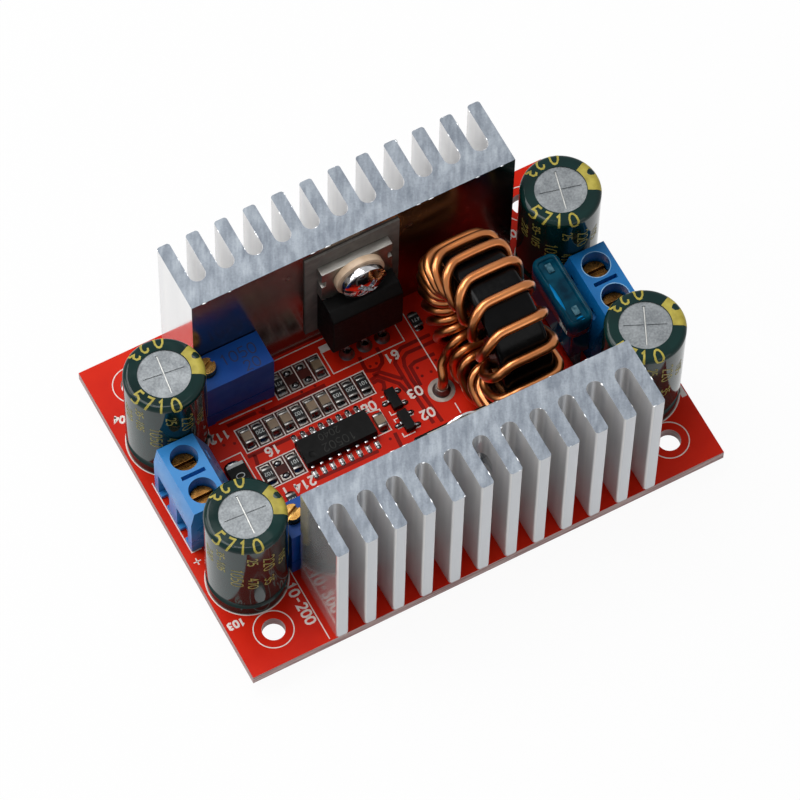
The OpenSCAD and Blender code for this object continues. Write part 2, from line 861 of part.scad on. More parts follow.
module output_terminal_housing() { output_seat() terminal_housing(); }
module output_terminal_screw_a() { output_seat() terminal_screw(-1); }
module output_terminal_screw_b() { output_seat() terminal_screw(1); }
module output_terminal_cage_a() { output_seat() terminal_cage(-1); }
module output_terminal_cage_b() { output_seat() terminal_cage(1); }
module output_terminal_pins() { output_seat() terminal_pins(); }
module input_terminal_housing() { input_seat() terminal_housing(); }
module input_terminal_screw_a() { input_seat() terminal_screw(-1); }
module input_terminal_screw_b() { input_seat() terminal_screw(1); }
module input_terminal_cage_a() { input_seat() terminal_cage(-1); }
module input_terminal_cage_b() { input_seat() terminal_cage(1); }
module input_terminal_pins() { input_seat() terminal_pins(); }

// Fuse
module fuse_seat() {
    translate([fuse_x, fuse_y, zt])
        children();
}

// Flat metal element, drawn in the plane of its blades: two blades with test studs and a link
module fuse_outline(grow) {
    link_w = 0.9;
    link_z = fuse_top - 2.6;
    stud_w = 1.3;
    for (s = [-1, 1])
        translate([s * blade_pitch / 2, 0]) {
            translate([-blade_w / 2 - grow, -zt])
                square([blade_w + 2 * grow, zt + link_z + link_w]);
            translate([-stud_w / 2 - grow, 0])
                square([stud_w + 2 * grow, fuse_top - 0.1 + 2 * grow]);
        }
    translate([-blade_pitch / 2, link_z - grow])
        square([blade_pitch, link_w + 2 * grow]);
}

module fuse_plate(t, grow) {
    translate([-t / 2, 0, 0])
        rotate([90, 0, 90])
            linear_extrude(t)
                fuse_outline(grow);
}

module fuse_element() {
    color([0.75, 0.77, 0.78])
        fuse_seat()
            fuse_plate(blade_t, 0);
}

// Moulded body: a waist that holds the blades under a wider top with a sunk middle
module fuse_body() {
    step_w = 0.6;
    sink_l = 3.4;
    sink_deep = 0.35;
    color([0.03, 0.22, 0.42])
        fuse_seat()
            difference() {
                union() {
                    slab([fuse_waist_t, fuse_w - step_w, fuse_body_h], fuse_lift);
                    slab([fuse_t, fuse_w, fuse_flange_h], fuse_top - fuse_flange_h);
                }
                fuse_plate(blade_t + 2 * seat, seat);
                slab([fuse_t - 1.4, sink_l, sink_deep + over], fuse_top - sink_deep);
                for (s = [-1, 1])
                    translate([0, s * blade_pitch / 2, 0])
                        slab([blade_t + 2 * seat, 1.3 + 2 * seat, 1 + over], fuse_top - 1);
            }
}

// Inductor
// Core: a square-edged ring with rounded corners, its axis along X
module inductor_core() {
    edge = 0.8;
    ring = (core_od - core_id) / 2;
    color([0.07, 0.07, 0.075])
        translate([core_x, core_y, zt + core_z])
            rotate([0, 90, 0])
                rotate_extrude($fn = 96)
                    translate([core_id / 2, -core_w / 2]) {
                        translate([edge, 0])
                            square([ring - 2 * edge, core_w]);
                        translate([0, edge])
                            square([ring, core_w - 2 * edge]);
                        for (x = [edge, ring - edge])
                            for (y = [edge, core_w - edge])
                                translate([x, y])
                                    circle(r = edge);
                    }
}

// Angle of turn i round the core's axis: the turns lie closer together at the start of the winding
function turn_angle(i) =
    turn_start + turn_span * i / (turn_count - 1) - turn_bunch * sin(180 * i / (turn_count - 1));

// Point at radius r, angle a and distance x along the core's axis
function core_point(r, a, x) = [x, r * cos(a), r * sin(a)];

// A quarter bend round a centre at radius r and distance x, while the angle goes from a0 to a1
function bend_points(r, x, radius, from, a0, a1) = [
    for (k = [0:bend_steps])
        let (t = k / bend_steps, g = from - 90 * t)
        core_point(r + radius * cos(g), a0 + (a1 - a0) * t, x + radius * sin(g))
];

// One turn: through the hole to +X, out over the rim and back to the hole at the next turn's angle
function turn_points(i) =
    let (a = turn_angle(i), step = (i < turn_count - 1 ? turn_angle(i + 1) - a : tail_turn))
    concat(
        bend_points(in_r + bend_r, side_x - bend_r, bend_r, 180, a, a),
        bend_points(out_r - bend_r, side_x - bend_r, bend_r, 90, a, a),
        [core_point(out_r + rim_bow, a, 0)],
        bend_points(out_r - loop_r, -loop_x + loop_r, loop_r, 0, a, a + step * 0.5),
        bend_points(in_r + loop_r, -loop_x + loop_r, loop_r, -90, a + step * 0.85, a + step)
    );

// A lead from a pad up to the core, s is -1 for the left pad and 1 for the right one
function lead_points(s) = [
    [s * wire_pad_reach, 0, -core_z - zt],
    [s * wire_pad_reach, 0, -core_z + wire_d],
    [s * (wire_pad_reach - wire_r / 2), 0, -core_z + 2 * wire_d]
];

// The whole wire: from the left pad into the hole, round all the turns and down to the right pad
tail_angle = turn_angle(turn_count - 1) + tail_turn;
right_lead = lead_points(1);
wire_path = concat(
    lead_points(-1),
    [core_point(in_r + loop_r + wire_d, turn_start - 15, -loop_x - wire_d)],
    bend_points(in_r + loop_r, -loop_x + loop_r, loop_r, -90, turn_start - 9, turn_start),
    [for (i = [0:turn_count - 1]) each turn_points(i)],
    [
        core_point(in_r, tail_angle, side_x - bend_r),
        core_point(in_r + bend_r / 5, tail_angle - 1, side_x - bend_r / 5),
        core_point(in_r + bend_r, tail_angle - 3, side_x + wire_r)
    ],
    [for (k = [len(right_lead) - 1:-1:0]) right_lead[k]]
);

function unit(v) = v / norm(v);

// Direction of the wire at point i of its path
function wire_dir(p, i) = unit(p[min(i + 1, len(p) - 1)] - p[max(i - 1, 0)]);

// First side direction of every ring, carried along the path so that the tube does not twist
function side_dirs(p, i = 0, u = [0, 1, 0]) =
    i == len(p) ? [] :
    let (t = wire_dir(p, i), v = unit(u - (u * t) * t))
    concat([v], side_dirs(p, i + 1, v));

// A closed tube of n sides along a path
module tube(p, r, n) {
    u = side_dirs(p);
    m = len(p);
    points = [
        for (i = [0:m - 1])
            let (t = wire_dir(p, i), w = cross(t, u[i]))
            for (k = [0:n - 1])
                p[i] + r * (cos(360 * k / n) * u[i] + sin(360 * k / n) * w)
    ];
    sides = [
        for (i = [0:m - 2])
            for (k = [0:n - 1])
                let (k2 = (k + 1) % n)
                each [
                    [i * n + k, (i + 1) * n + k, (i + 1) * n + k2],
                    [i * n + k, (i + 1) * n + k2, i * n + k2]
                ]
    ];
    first = [for (k = [0:n - 1]) k];
    last = [for (k = [n - 1:-1:0]) (m - 1) * n + k];
    polyhedron(points = points, faces = concat(sides, [first, last]));
}

module inductor_winding() {
    color([0.74, 0.43, 0.2])
        translate([core_x, core_y, zt + core_z])
            tube(wire_path, wire_r, wire_sides);
}

// Trimmers
module trimmer_seat(y) {
    translate([trim_x, y, zt])
        children();
}

// Moulded housing on two feet, with a sunk lid line and a bore for the adjusting screw
module trimmer_housing(y) {
    foot_l = 1.2;
    lid_line = 0.25;
    lid_z = trim_lift + 2.2;
    color([0.06, 0.2, 0.52])
        trimmer_seat(y)
            difference() {
                union() {
                    slab([trim_l, trim_w, trim_h], trim_lift);
                    for (s = [-1, 1])
                        translate([s * (trim_l - foot_l) / 2, 0, 0])
                            slab([foot_l, trim_w, trim_lift + 0.1]);
                }
                translate([-trim_l / 2 + trim_screw_inset, trim_screw_side, trim_bore_z])
                    cylinder(d = trim_screw_d + 2 * run, h = trim_bore_deep + over);
                for (s = [-1, 1])
                    translate([0, s * trim_w / 2, 0])
                        slab([trim_l + over, 2 * lid_line, lid_line], lid_z);
                for (k = [-1, 0, 1])
                    translate([k * trim_pin_pitch, 0, 0])
                        cylinder(d = trim_pin_d + 2 * seat, h = trim_lift + 1);
            }
}

module trimmer_screw(y) {
    slot_w = 0.5;
    slot_deep = 0.7;
    base_z = trim_bore_z + run;
    top_z = trim_lift + trim_h + trim_screw_rise;
    color([0.72, 0.55, 0.28])
        trimmer_seat(y)
            translate([-trim_l / 2 + trim_screw_inset, trim_screw_side, 0])
                difference() {
                    translate([0, 0, base_z])
                        cylinder(d = trim_screw_d, h = top_z - base_z);
                    rotate(25)
                        slab([trim_screw_d + over, slot_w, slot_deep + over], top_z - slot_deep);
                }
}

module trimmer_pins(y) {
    color([0.75, 0.75, 0.76])
        trimmer_seat(y)
            for (k = [-1, 0, 1])
                translate([k * trim_pin_pitch, 0, -zt])
                    cylinder(d = trim_pin_d, h = zt + trim_lift + 1 - seat);
}

module voltage_trimmer_housing() { trimmer_housing(trim_rear_y); }
module voltage_trimmer_screw() { trimmer_screw(trim_rear_y); }
module voltage_trimmer_pins() { trimmer_pins(trim_rear_y); }
module current_trimmer_housing() { trimmer_housing(trim_front_y); }
module current_trimmer_screw() { trimmer_screw(trim_front_y); }
module current_trimmer_pins() { trimmer_pins(trim_front_y); }

// Controller chip
module controller_seat() {
    translate([chip_at[0], chip_at[1], zt])
        children();
}

// Moulded body whose long sides draw in above and below the leads, with a pin-one dimple
module controller_ic_body() {
    draft = 0.2;
    mid = chip_stand + (chip_h - chip_stand) / 2;
    dimple_d = 0.9;
    color([0.06, 0.06, 0.065])
        controller_seat()
            difference() {
                translate([-chip_l / 2, 0, 0])
                    rotate([90, 0, 90])
                        linear_extrude(chip_l)
                            polygon([
                                [-chip_w / 2 + draft, chip_stand],
                                [chip_w / 2 - draft, chip_stand],
                                [chip_w / 2, mid],
                                [chip_w / 2 - draft, chip_h],
                                [-chip_w / 2 + draft, chip_h],
                                [-chip_w / 2, mid]
                            ]);
                translate([-chip_l / 2 + 1.1, -chip_w / 2 + 1.1, chip_h - 0.1])
                    cylinder(d = dimple_d, h = over);
            }
}

// A bent lead whose shoulder starts at a body's side, y0, and whose foot ends at y1
module gull_wing(y0, y1, shoulder_z, w, t) {
    foot = (y1 - y0) * 0.6;
    translate([-w / 2, 0, 0])
        rotate([90, 0, 90])
            linear_extrude(w)
                polygon([
                    [y0, shoulder_z - t / 2],
                    [y1 - foot - t, shoulder_z - t / 2],
                    [y1 - foot, 0],
                    [y1, 0],
                    [y1, t],
                    [y1 - foot + t / 2, t],
                    [y1 - foot - t / 2, shoulder_z + t / 2],
                    [y0, shoulder_z + t / 2]
                ]);
}

module controller_ic_leads() {
    lead_w = 0.42;
    lead_t = 0.2;
    reach = 1.05;
    mid = chip_stand + (chip_h - chip_stand) / 2;
    color([0.74, 0.74, 0.75])
        controller_seat()
            for (i = [0:chip_legs - 1])
                for (s = [0, 1])
                    rotate(180 * s)
                        translate([(i - (chip_legs - 1) / 2) * chip_pitch, 0, 0])
                            gull_wing(chip_w / 2 + seat, chip_w / 2 + reach, mid, lead_w, lead_t);
}

// Chip resistors and capacitors, lying along Y
module chip_bodies(kind, h) {
    cap_len = smd_l * 0.2;
    for (c = chips)
        if (c[0] == kind)
            translate([c[1], c[2], zt])
                slab([smd_w, smd_l - 2 * cap_len, h], 0.05);
}

module chip_resistors() {
    color([0.07, 0.07, 0.075])
        chip_bodies("r", res_h);
}

module chip_capacitors() {
    color([0.45, 0.33, 0.24])
        chip_bodies("c", ccap_h);
}

module chip_terminations() {
    cap_len = smd_l * 0.2;
    color([0.78, 0.78, 0.79])
        for (c = chips)
            for (s = [-1, 1])
                translate([c[1], c[2] + s * (smd_l - cap_len) / 2, zt])
                    slab([smd_w + 0.02, cap_len, (c[0] == "r" ? res_h : ccap_h) + 0.07]);
}

// Small three-legged transistors, lying along X
module transistor_bodies() {
    stand = 0.1;
    color([0.06, 0.06, 0.065])
        for (p = sot_spots)
            translate([p[0], p[1], zt])
                slab([sot_w, sot_l, sot_h - stand], stand);
}

module transistor_leads() {
    lead_w = 0.42;
    lead_t = 0.15;
    reach = 0.6;
    side_pitch = 0.95;
    color([0.74, 0.74, 0.75])
        for (p = sot_spots)
            translate([p[0], p[1], zt])
                for (k = [[90, 0], [-90, side_pitch], [-90, -side_pitch]])
                    translate([0, k[1], 0])
                        rotate(k[0])
                            gull_wing(sot_w / 2 + seat, sot_w / 2 + reach, sot_h / 2, lead_w, lead_t);
}

// Surface-mount diode, lying along Y
module diode_body() {
    draft = 0.25;
    lift = 0.25;
    color([0.06, 0.06, 0.065])
        translate([diode_at[0] - diode_w / 2, diode_at[1], zt])
            rotate([90, 0, 90])
                linear_extrude(diode_w)
                    polygon([
                        [-diode_l / 2 + draft, lift],
                        [diode_l / 2 - draft, lift],
                        [diode_l / 2, diode_h / 2],
                        [diode_l / 2 - draft, diode_h],
                        [-diode_l / 2 + draft, diode_h],
                        [-diode_l / 2, diode_h / 2]
                    ]);
}

module diode_tabs() {
    tab_t = 0.2;
    foot_l = 1;
    width = 1.5;
    color([0.74, 0.74, 0.75])
        translate([diode_at[0], diode_at[1], zt])
            for (a = [0, 180])
                rotate(a)
                    translate([-width / 2, 0, 0])
                        rotate([90, 0, 90])
                            linear_extrude(width)
                                polygon([
                                    [diode_l / 2 - foot_l, 0],
                                    [diode_l / 2 + 0.35, 0],
                                    [diode_l / 2 + 0.35, diode_h / 2],
                                    [diode_l / 2 + seat, diode_h / 2],
                                    [diode_l / 2 + 0.35 - tab_t, tab_t],
                                    [diode_l / 2 - foot_l, tab_t]
                                ]);
}

circuit_board();
rear_heatsink();
front_heatsink();
mosfet_case();
mosfet_tab();
mosfet_leads();
mosfet_insulator();
mosfet_bushing();
mosfet_screw();
rectifier_case();
rectifier_tab();
rectifier_leads();
rectifier_insulator();
rectifier_screw();
output_front_capacitor_can();
output_rear_capacitor_can();
input_front_capacitor_can();
input_rear_capacitor_can();
output_front_capacitor_sleeve();
output_rear_capacitor_sleeve();
input_front_capacitor_sleeve();
input_rear_capacitor_sleeve();
capacitor_bungs();
capacitor_leads();
output_terminal_housing();
output_terminal_screw_a();
output_terminal_screw_b();
output_terminal_cage_a();
output_terminal_cage_b();
output_terminal_pins();
input_terminal_housing();
input_terminal_screw_a();
input_terminal_screw_b();
input_terminal_cage_a();
input_terminal_cage_b();
input_terminal_pins();
fuse_body();
fuse_element();
inductor_core();
inductor_winding();
voltage_trimmer_housing();
voltage_trimmer_screw();
voltage_trimmer_pins();
current_trimmer_housing();
current_trimmer_screw();
current_trimmer_pins();
controller_ic_body();
controller_ic_leads();
chip_resistors();
chip_capacitors();
chip_terminations();
transistor_bodies();
transistor_leads();
diode_body();
diode_tabs();
solder_joints();
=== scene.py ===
"""Looks of a boost converter module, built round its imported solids."""

import json
import math
import random

import bmesh
import bpy
from mathutils import Matrix, Vector

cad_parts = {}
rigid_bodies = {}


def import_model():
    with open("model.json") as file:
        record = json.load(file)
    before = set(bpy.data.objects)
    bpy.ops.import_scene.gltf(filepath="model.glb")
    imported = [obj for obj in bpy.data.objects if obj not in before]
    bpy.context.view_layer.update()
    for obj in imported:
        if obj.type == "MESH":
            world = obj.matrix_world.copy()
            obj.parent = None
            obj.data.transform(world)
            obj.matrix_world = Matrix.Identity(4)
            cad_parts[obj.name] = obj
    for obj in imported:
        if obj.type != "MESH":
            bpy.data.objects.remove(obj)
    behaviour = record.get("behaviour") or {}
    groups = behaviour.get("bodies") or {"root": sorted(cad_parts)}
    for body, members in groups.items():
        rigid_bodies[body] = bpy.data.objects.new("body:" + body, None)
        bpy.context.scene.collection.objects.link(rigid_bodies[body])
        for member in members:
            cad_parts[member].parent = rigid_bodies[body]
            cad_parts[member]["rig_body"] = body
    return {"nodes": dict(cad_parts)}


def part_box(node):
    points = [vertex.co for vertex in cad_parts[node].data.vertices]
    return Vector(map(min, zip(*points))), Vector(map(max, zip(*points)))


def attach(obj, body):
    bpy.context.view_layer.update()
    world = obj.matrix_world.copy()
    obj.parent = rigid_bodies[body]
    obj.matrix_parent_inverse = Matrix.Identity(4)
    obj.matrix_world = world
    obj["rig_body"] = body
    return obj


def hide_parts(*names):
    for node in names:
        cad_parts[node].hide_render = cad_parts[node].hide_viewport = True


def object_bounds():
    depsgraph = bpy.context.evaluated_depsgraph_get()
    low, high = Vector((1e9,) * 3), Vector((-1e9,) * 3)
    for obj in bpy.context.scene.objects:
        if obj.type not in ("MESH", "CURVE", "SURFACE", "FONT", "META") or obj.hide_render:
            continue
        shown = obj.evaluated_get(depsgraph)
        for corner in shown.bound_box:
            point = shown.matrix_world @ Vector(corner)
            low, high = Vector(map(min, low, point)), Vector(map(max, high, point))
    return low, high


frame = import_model()
cad_lo, cad_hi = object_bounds()
scene = bpy.context.scene

MM = 0.001
BOARD_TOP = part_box("circuit_board")[1].z
IMAGE_PX = 800
WELD = 1e-6


# Places, in millimetres on the board, with z counted from its top face

def at(x, y, z=0.0):
    """The scene's point for a place on the board."""
    return Vector((x * MM, y * MM, BOARD_TOP + z * MM))


def on_board(point):
    """The place on the board of a point of the scene."""
    return Vector((point.x / MM, point.y / MM, (point.z - BOARD_TOP) / MM))


def box(node):
    """A node's lowest and highest corners, as places on the board."""
    lo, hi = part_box(node)
    return on_board(lo), on_board(hi)


def middle(node):
    lo, hi = box(node)
    return (lo + hi) / 2


def welded(node):
    """A CAD node's mesh with its split corners joined again."""
    bm = bmesh.new()
    bm.from_mesh(frame["nodes"][node].data)
    bmesh.ops.remove_doubles(bm, verts=bm.verts, dist=WELD)
    return bm


def solids(node):
    """Boxes of the separate solids of a CAD node."""
    bm = welded(node)
    left = set(bm.verts)
    boxes = []
    while left:
        todo = [left.pop()]
        found = []
        while todo:
            vert = todo.pop()
            found.append(on_board(vert.co))
            for edge in vert.link_edges:
                other = edge.other_vert(vert)
                if other in left:
                    left.remove(other)
                    todo.append(other)
        lo = Vector([min(p[k] for p in found) for k in range(3)])
        hi = Vector([max(p[k] for p in found) for k in range(3)])
        boxes.append((lo, hi))
    bm.free()
    return sorted(boxes, key=lambda b: tuple(b[0]))


def srgb(r, g, b):
    """A display colour, 0 to 255, as the linear colour that a shader takes."""
    def linear(c):
        c /= 255
        return c / 12.92 if c <= 0.04045 else ((c + 0.055) / 1.055) ** 2.4
    return (linear(r), linear(g), linear(b), 1.0)


# Camera

CAM_AZIMUTH = math.radians(-29.6)
CAM_ELEVATION = math.radians(62.84)
CAM_ROLL = math.radians(1.61)
CAM_DISTANCE = 727.06 * MM
CAM_FOCAL_PX = 5736.48
CAM_SENSOR_MM = 36.0
CAM_CLIP = (0.05, 10.0)
CAM_TARGET = at(0.79, 1.59)


def make_camera():
    data = bpy.data.cameras.new("camera")
    cam = bpy.data.objects.new("camera", data)
    scene.collection.objects.link(cam)
    data.sensor_width = CAM_SENSOR_MM
    data.lens = CAM_SENSOR_MM * CAM_FOCAL_PX / IMAGE_PX
    data.clip_start, data.clip_end = CAM_CLIP
    turn = (Matrix.Rotation(CAM_AZIMUTH, 4, "Z") @ Matrix.Rotation(math.pi / 2 - CAM_ELEVATION, 4, "X")
            @ Matrix.Rotation(CAM_ROLL, 4, "Z"))
    cam.matrix_world = Matrix.Translation(CAM_TARGET) @ turn @ Matrix.Translation((0, 0, CAM_DISTANCE))
    scene.camera = cam


# Materials

# Most values of a noise lie in this range
NOISE_RANGE = (0.3, 0.7)
NOISE_SHIFT = (1.0, 0.7, 0.3)


class Nodes:
    """Short ways to add nodes to a tree."""

    def __init__(self, tree):
        self.tree = tree

    def fill(self, socket, value):
        """Sets a socket, or links it where the value comes from another node."""
        if isinstance(value, bpy.types.NodeSocket):
            self.tree.links.new(value, socket)
        else:
            socket.default_value = value

    def fill_all(self, node, sockets):
        for key, value in sockets.items():
            self.fill(node.inputs[key.replace("_", " ")], value)

    def add(self, kind, **sockets):
        """A new node, with its sockets filled by name."""
        node = self.tree.nodes.new(kind)
        self.fill_all(node, sockets)
        return node

    def math(self, kind, a, b=0.0):
        node = self.add("ShaderNodeMath")
        node.operation = kind
        self.fill(node.inputs[0], a)
        self.fill(node.inputs[1], b)
        return node.outputs["Value"]

    def mixed(self, data_type, kind, fac, a, b):
        node = self.add("ShaderNodeMix", Factor=fac)
        node.data_type = data_type
        low, high = [s for s in node.inputs if s.type == kind and s.name in ("A", "B")]
        self.fill(low, a)
        self.fill(high, b)
        return next(s for s in node.outputs if s.type == kind)

    def mix(self, fac, a, b):
        """A colour that goes from a to b as fac goes from 0 to 1."""
        return self.mixed("RGBA", "RGBA", fac, a, b)

    def blend(self, fac, a, b):
        """A number that goes from a to b as fac goes from 0 to 1."""
        return self.mixed("FLOAT", "VALUE", fac, a, b)


class Shade(Nodes):
    """A Principled material with short ways to add procedural detail."""

    def __init__(self, colour, rough, metal=0.0, **sockets):
        self.material = bpy.data.materials.new("finish")
        self.material.use_nodes = True
        super().__init__(self.material.node_tree)
        self.shader = self.tree.nodes["Principled BSDF"]
        self.set(Base_Color=srgb(*colour), Roughness=rough, Metallic=metal, **sockets)
        self.place = self.add("ShaderNodeTexCoord").outputs["Object"]

    def set(self, **sockets):
        """Fills sockets of the shader by name."""
        self.fill_all(self.shader, sockets)

    def noise(self, scale, detail, stretch=(1, 1, 1), shift=0.0, turn=0.0):
        """Noise that is stretched along its axes, after a turn in degrees about the Z axis."""
        spin = self.add("ShaderNodeVectorRotate", Vector=self.place, Angle=math.radians(turn))
        spin.rotation_type = "Z_AXIS"
        mapping = self.add("ShaderNodeMapping", Vector=spin.outputs["Vector"], Scale=stretch,
                           Location=[shift * part for part in NOISE_SHIFT])
        tex = self.add("ShaderNodeTexNoise", Vector=mapping.outputs["Vector"], Scale=scale, Detail=detail)
        return tex.outputs["Fac"]

    def part(self, vector, axis):
        return self.add("ShaderNodeSeparateXYZ", Vector=vector).outputs[axis]

    def normal_part(self, axis):
        """One component of the surface's own normal, -1 to 1."""
        return self.part(self.add("ShaderNodeNewGeometry").outputs["Normal"], axis)

    def span(self, value, lo, hi, out_lo=0.0, out_hi=1.0):
        """A value between lo and hi, carried over to another range."""
        node = self.add("ShaderNodeMapRange", Value=value, From_Min=lo, From_Max=hi,
                        To_Min=out_lo, To_Max=out_hi)
        return node.outputs["Result"]

    def ramp(self, value, *stops):
        """Display colours at rising values."""
        node = self.add("ShaderNodeValToRGB", Fac=value)
        elements = node.color_ramp.elements
        while len(elements) < len(stops):
            elements.new(0.5)
        for element, (spot, colour) in zip(elements, stops):
            element.position = spot
            element.color = srgb(*colour)
        return node.outputs["Color"]

    def rough(self, value, lo, hi):
        self.set(Roughness=self.span(value, *NOISE_RANGE, lo, hi))

    def bump(self, value, strength, depth_mm):
        node = self.add("ShaderNodeBump", Height=value, Strength=strength, Distance=depth_mm * MM)
        self.set(Normal=node.outputs["Normal"])


WANDER = (0.32, 0.68)
GLOSS_SCALE = 2.3
ROUGH_LEAST = 0.02
ROUGH_BELOW = 0.06
ROUGH_ABOVE = 0.08
GRAIN_DEPTH = 0.02


def mottled(dark, light, scale, rough, metal=0.0, grain=0.0, grain_scale=4000, spec=0.5):
    """A surface whose colour and gloss wander a little, with a fine grain."""
    s = Shade(light, rough, metal, Specular_IOR_Level=spec)
    s.set(Base_Color=s.ramp(s.noise(scale, 4), (WANDER[0], dark), (WANDER[1], light)))
    gloss = s.noise(scale * GLOSS_SCALE, 3, shift=3)
    s.rough(gloss, max(rough - ROUGH_BELOW, ROUGH_LEAST), rough + ROUGH_ABOVE)
    if grain:
        s.bump(s.noise(grain_scale, 2), grain, GRAIN_DEPTH)
    return s


BLACK = (0, 0, 0)
WHITE = (255, 255, 255)
# Heatsinks: the clear shine of the walls, the bright skin of the end faces and the painted shade that
# darkens the fins' tips
WALL_COAT = 0.85
END_SKIN = 0.05 * MM
END_SHEEN = 0.52
END_ROUGH = 0.13
TIP_SHADE_COLOUR = srgb(186, 190, 196)


def heatsink_shade(node, face_sign, sheen, lit_wall_tone):
    """Extruded aluminium: streaked fins with painted light on their walls and painted shade on their tips,
    bright end faces, a scratched flat face and matt sawn ends.
    """
    lo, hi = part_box(node)
    s = Shade((190, 192, 196), 0.3, 1.0, Coat_Roughness=0.12, Coat_IOR=2.0)
    streaks = s.noise(900, 3, stretch=(1, 1, 0.03))
    saw = s.noise(1500, 5, stretch=(1, 0.22, 1), shift=2, turn=27)
    blotch = s.noise(260, 5, shift=4)
    fine = s.noise(3800, 4, shift=5)
    curl = s.noise(420, 4, shift=8)
    patch = s.noise(170, 2, shift=9)
    top = s.span(s.math("ABSOLUTE", s.normal_part("Z")), 0.75, 0.95)
    face = s.span(s.math("MULTIPLY", s.normal_part("Y"), face_sign), 0.85, 0.95)
    tip = s.span(s.math("MULTIPLY", s.normal_part("Y"), -face_sign), 0.85, 0.95)
    flat = s.math("MAXIMUM", top, face)
    off = s.math("ABSOLUTE", s.math("SUBTRACT", s.part(s.place, "X"), (lo.x + hi.x) / 2))
    end = s.math("GREATER_THAN", off, (hi.x - lo.x) / 2 - END_SKIN)
    # Painted light: the walls' tone is given per sink, lighter where more light falls
    fins = s.ramp(streaks, (0.3, (lit_wall_tone - 8, lit_wall_tone - 8, lit_wall_tone - 6)), (0.7, (lit_wall_tone + 8, lit_wall_tone + 7, lit_wall_tone + 6)))
    # Painted shade: the fins' tips take a darker tone than their walls
    side = s.mix(tip, fins, TIP_SHADE_COLOUR)
    scratch = s.ramp(curl, (0.49, BLACK), (0.5, WHITE), (0.51, BLACK))
    worn = s.math("MULTIPLY", scratch, s.span(patch, 0.5, 0.62))
    polished = s.mix(worn, srgb(138, 132, 128), srgb(222, 218, 214))
    mottle = s.math("ADD", s.math("MULTIPLY", saw, 0.6), s.math("MULTIPLY", fine, 0.4))
    sawn = s.ramp(mottle, (0.36, (108, 115, 124)), (0.5, (126, 133, 142)), (0.64, (148, 155, 163)))
    pale = s.ramp(mottle, (0.36, (122, 129, 138)), (0.64, (160, 167, 174)))
    ends = s.mix(s.span(blotch, 0.4, 0.62), sawn, pale)
    wall_rough = s.blend(end, s.span(streaks, *NOISE_RANGE, 0.44, 0.54), END_ROUGH)
    side_rough = s.blend(face, wall_rough, s.span(patch, *NOISE_RANGE, 0.16, 0.28))
    s.set(Base_Color=s.mix(top, s.mix(face, side, polished), ends),
          Roughness=s.blend(top, side_rough, s.span(fine, *NOISE_RANGE, 0.5, 0.66)),
          Coat_Weight=s.blend(flat, WALL_COAT, 0.0),
          Metallic=s.blend(flat, s.blend(end, sheen, END_SHEEN), 1.0))
    s.bump(s.blend(top, s.math("MULTIPLY", streaks, 0.3), mottle), 0.25, 0.04)
    return s


def board_shade():
    """Red solder mask on the flat faces, bare glass fibre on the cut edges."""
    s = Shade((208, 33, 10), 0.38, Specular_IOR_Level=0.1)
    mask = s.ramp(s.noise(150, 4), (0.3, (202, 28, 7)), (0.7, (216, 38, 11)))
    layers = s.noise(500, 3, stretch=(0.3, 0.3, 6))
    fibre = s.ramp(layers, (0.36, (138, 100, 98)), (0.64, (186, 160, 156)))
    flat = s.span(s.math("ABSOLUTE", s.normal_part("Z")), 0.6, 0.9)
    s.set(Base_Color=s.mix(flat, fibre, mask))
    return s


def fuse_shade():
    """Tinted plastic, darker on its flat faces, with painted light that makes its upright sides a lighter
    blue.
    """
    s = Shade((3, 50, 70), 0.08, IOR=1.45, Specular_IOR_Level=0.1)
    up = s.math("ABSOLUTE", s.normal_part("Z"))
    flat_face_tone = s.ramp(s.noise(420, 4), (0.35, (3, 40, 58)), (0.65, (8, 74, 96)))
    # Painted light: the upright sides take a lighter blue than the flat faces
    s.set(Base_Color=s.mix(s.span(up, 0.1, 0.6), srgb(3, 60, 92), flat_face_tone))
    s.bump(s.noise(900, 2), 0.08, 0.03)
    return s


def can_shade():
    """The bare aluminium top of a capacitor, dull with a fine grain."""
    s = Shade((124, 128, 130), 0.5, 1.0)
    fine = s.noise(3600, 5)
    grain = s.math("ADD", s.math("MULTIPLY", s.noise(500, 5), 0.5), s.math("MULTIPLY", fine, 0.5))
    s.set(Base_Color=s.ramp(grain, (0.36, (108, 112, 115)), (0.62, (140, 144, 146))))
    s.rough(s.noise(1500, 4, shift=1), 0.44, 0.58)
    s.bump(fine, 0.15, GRAIN_DEPTH)
    return s


def wire_shade():
    """Copper under clear brown enamel."""
    s = Shade((192, 118, 62), 0.28, 1.0, Coat_Weight=0.7, Coat_Roughness=0.08)
    s.set(Base_Color=s.ramp(s.noise(160, 2), (0.3, (182, 108, 54)), (0.7, (204, 130, 72))))
    return s


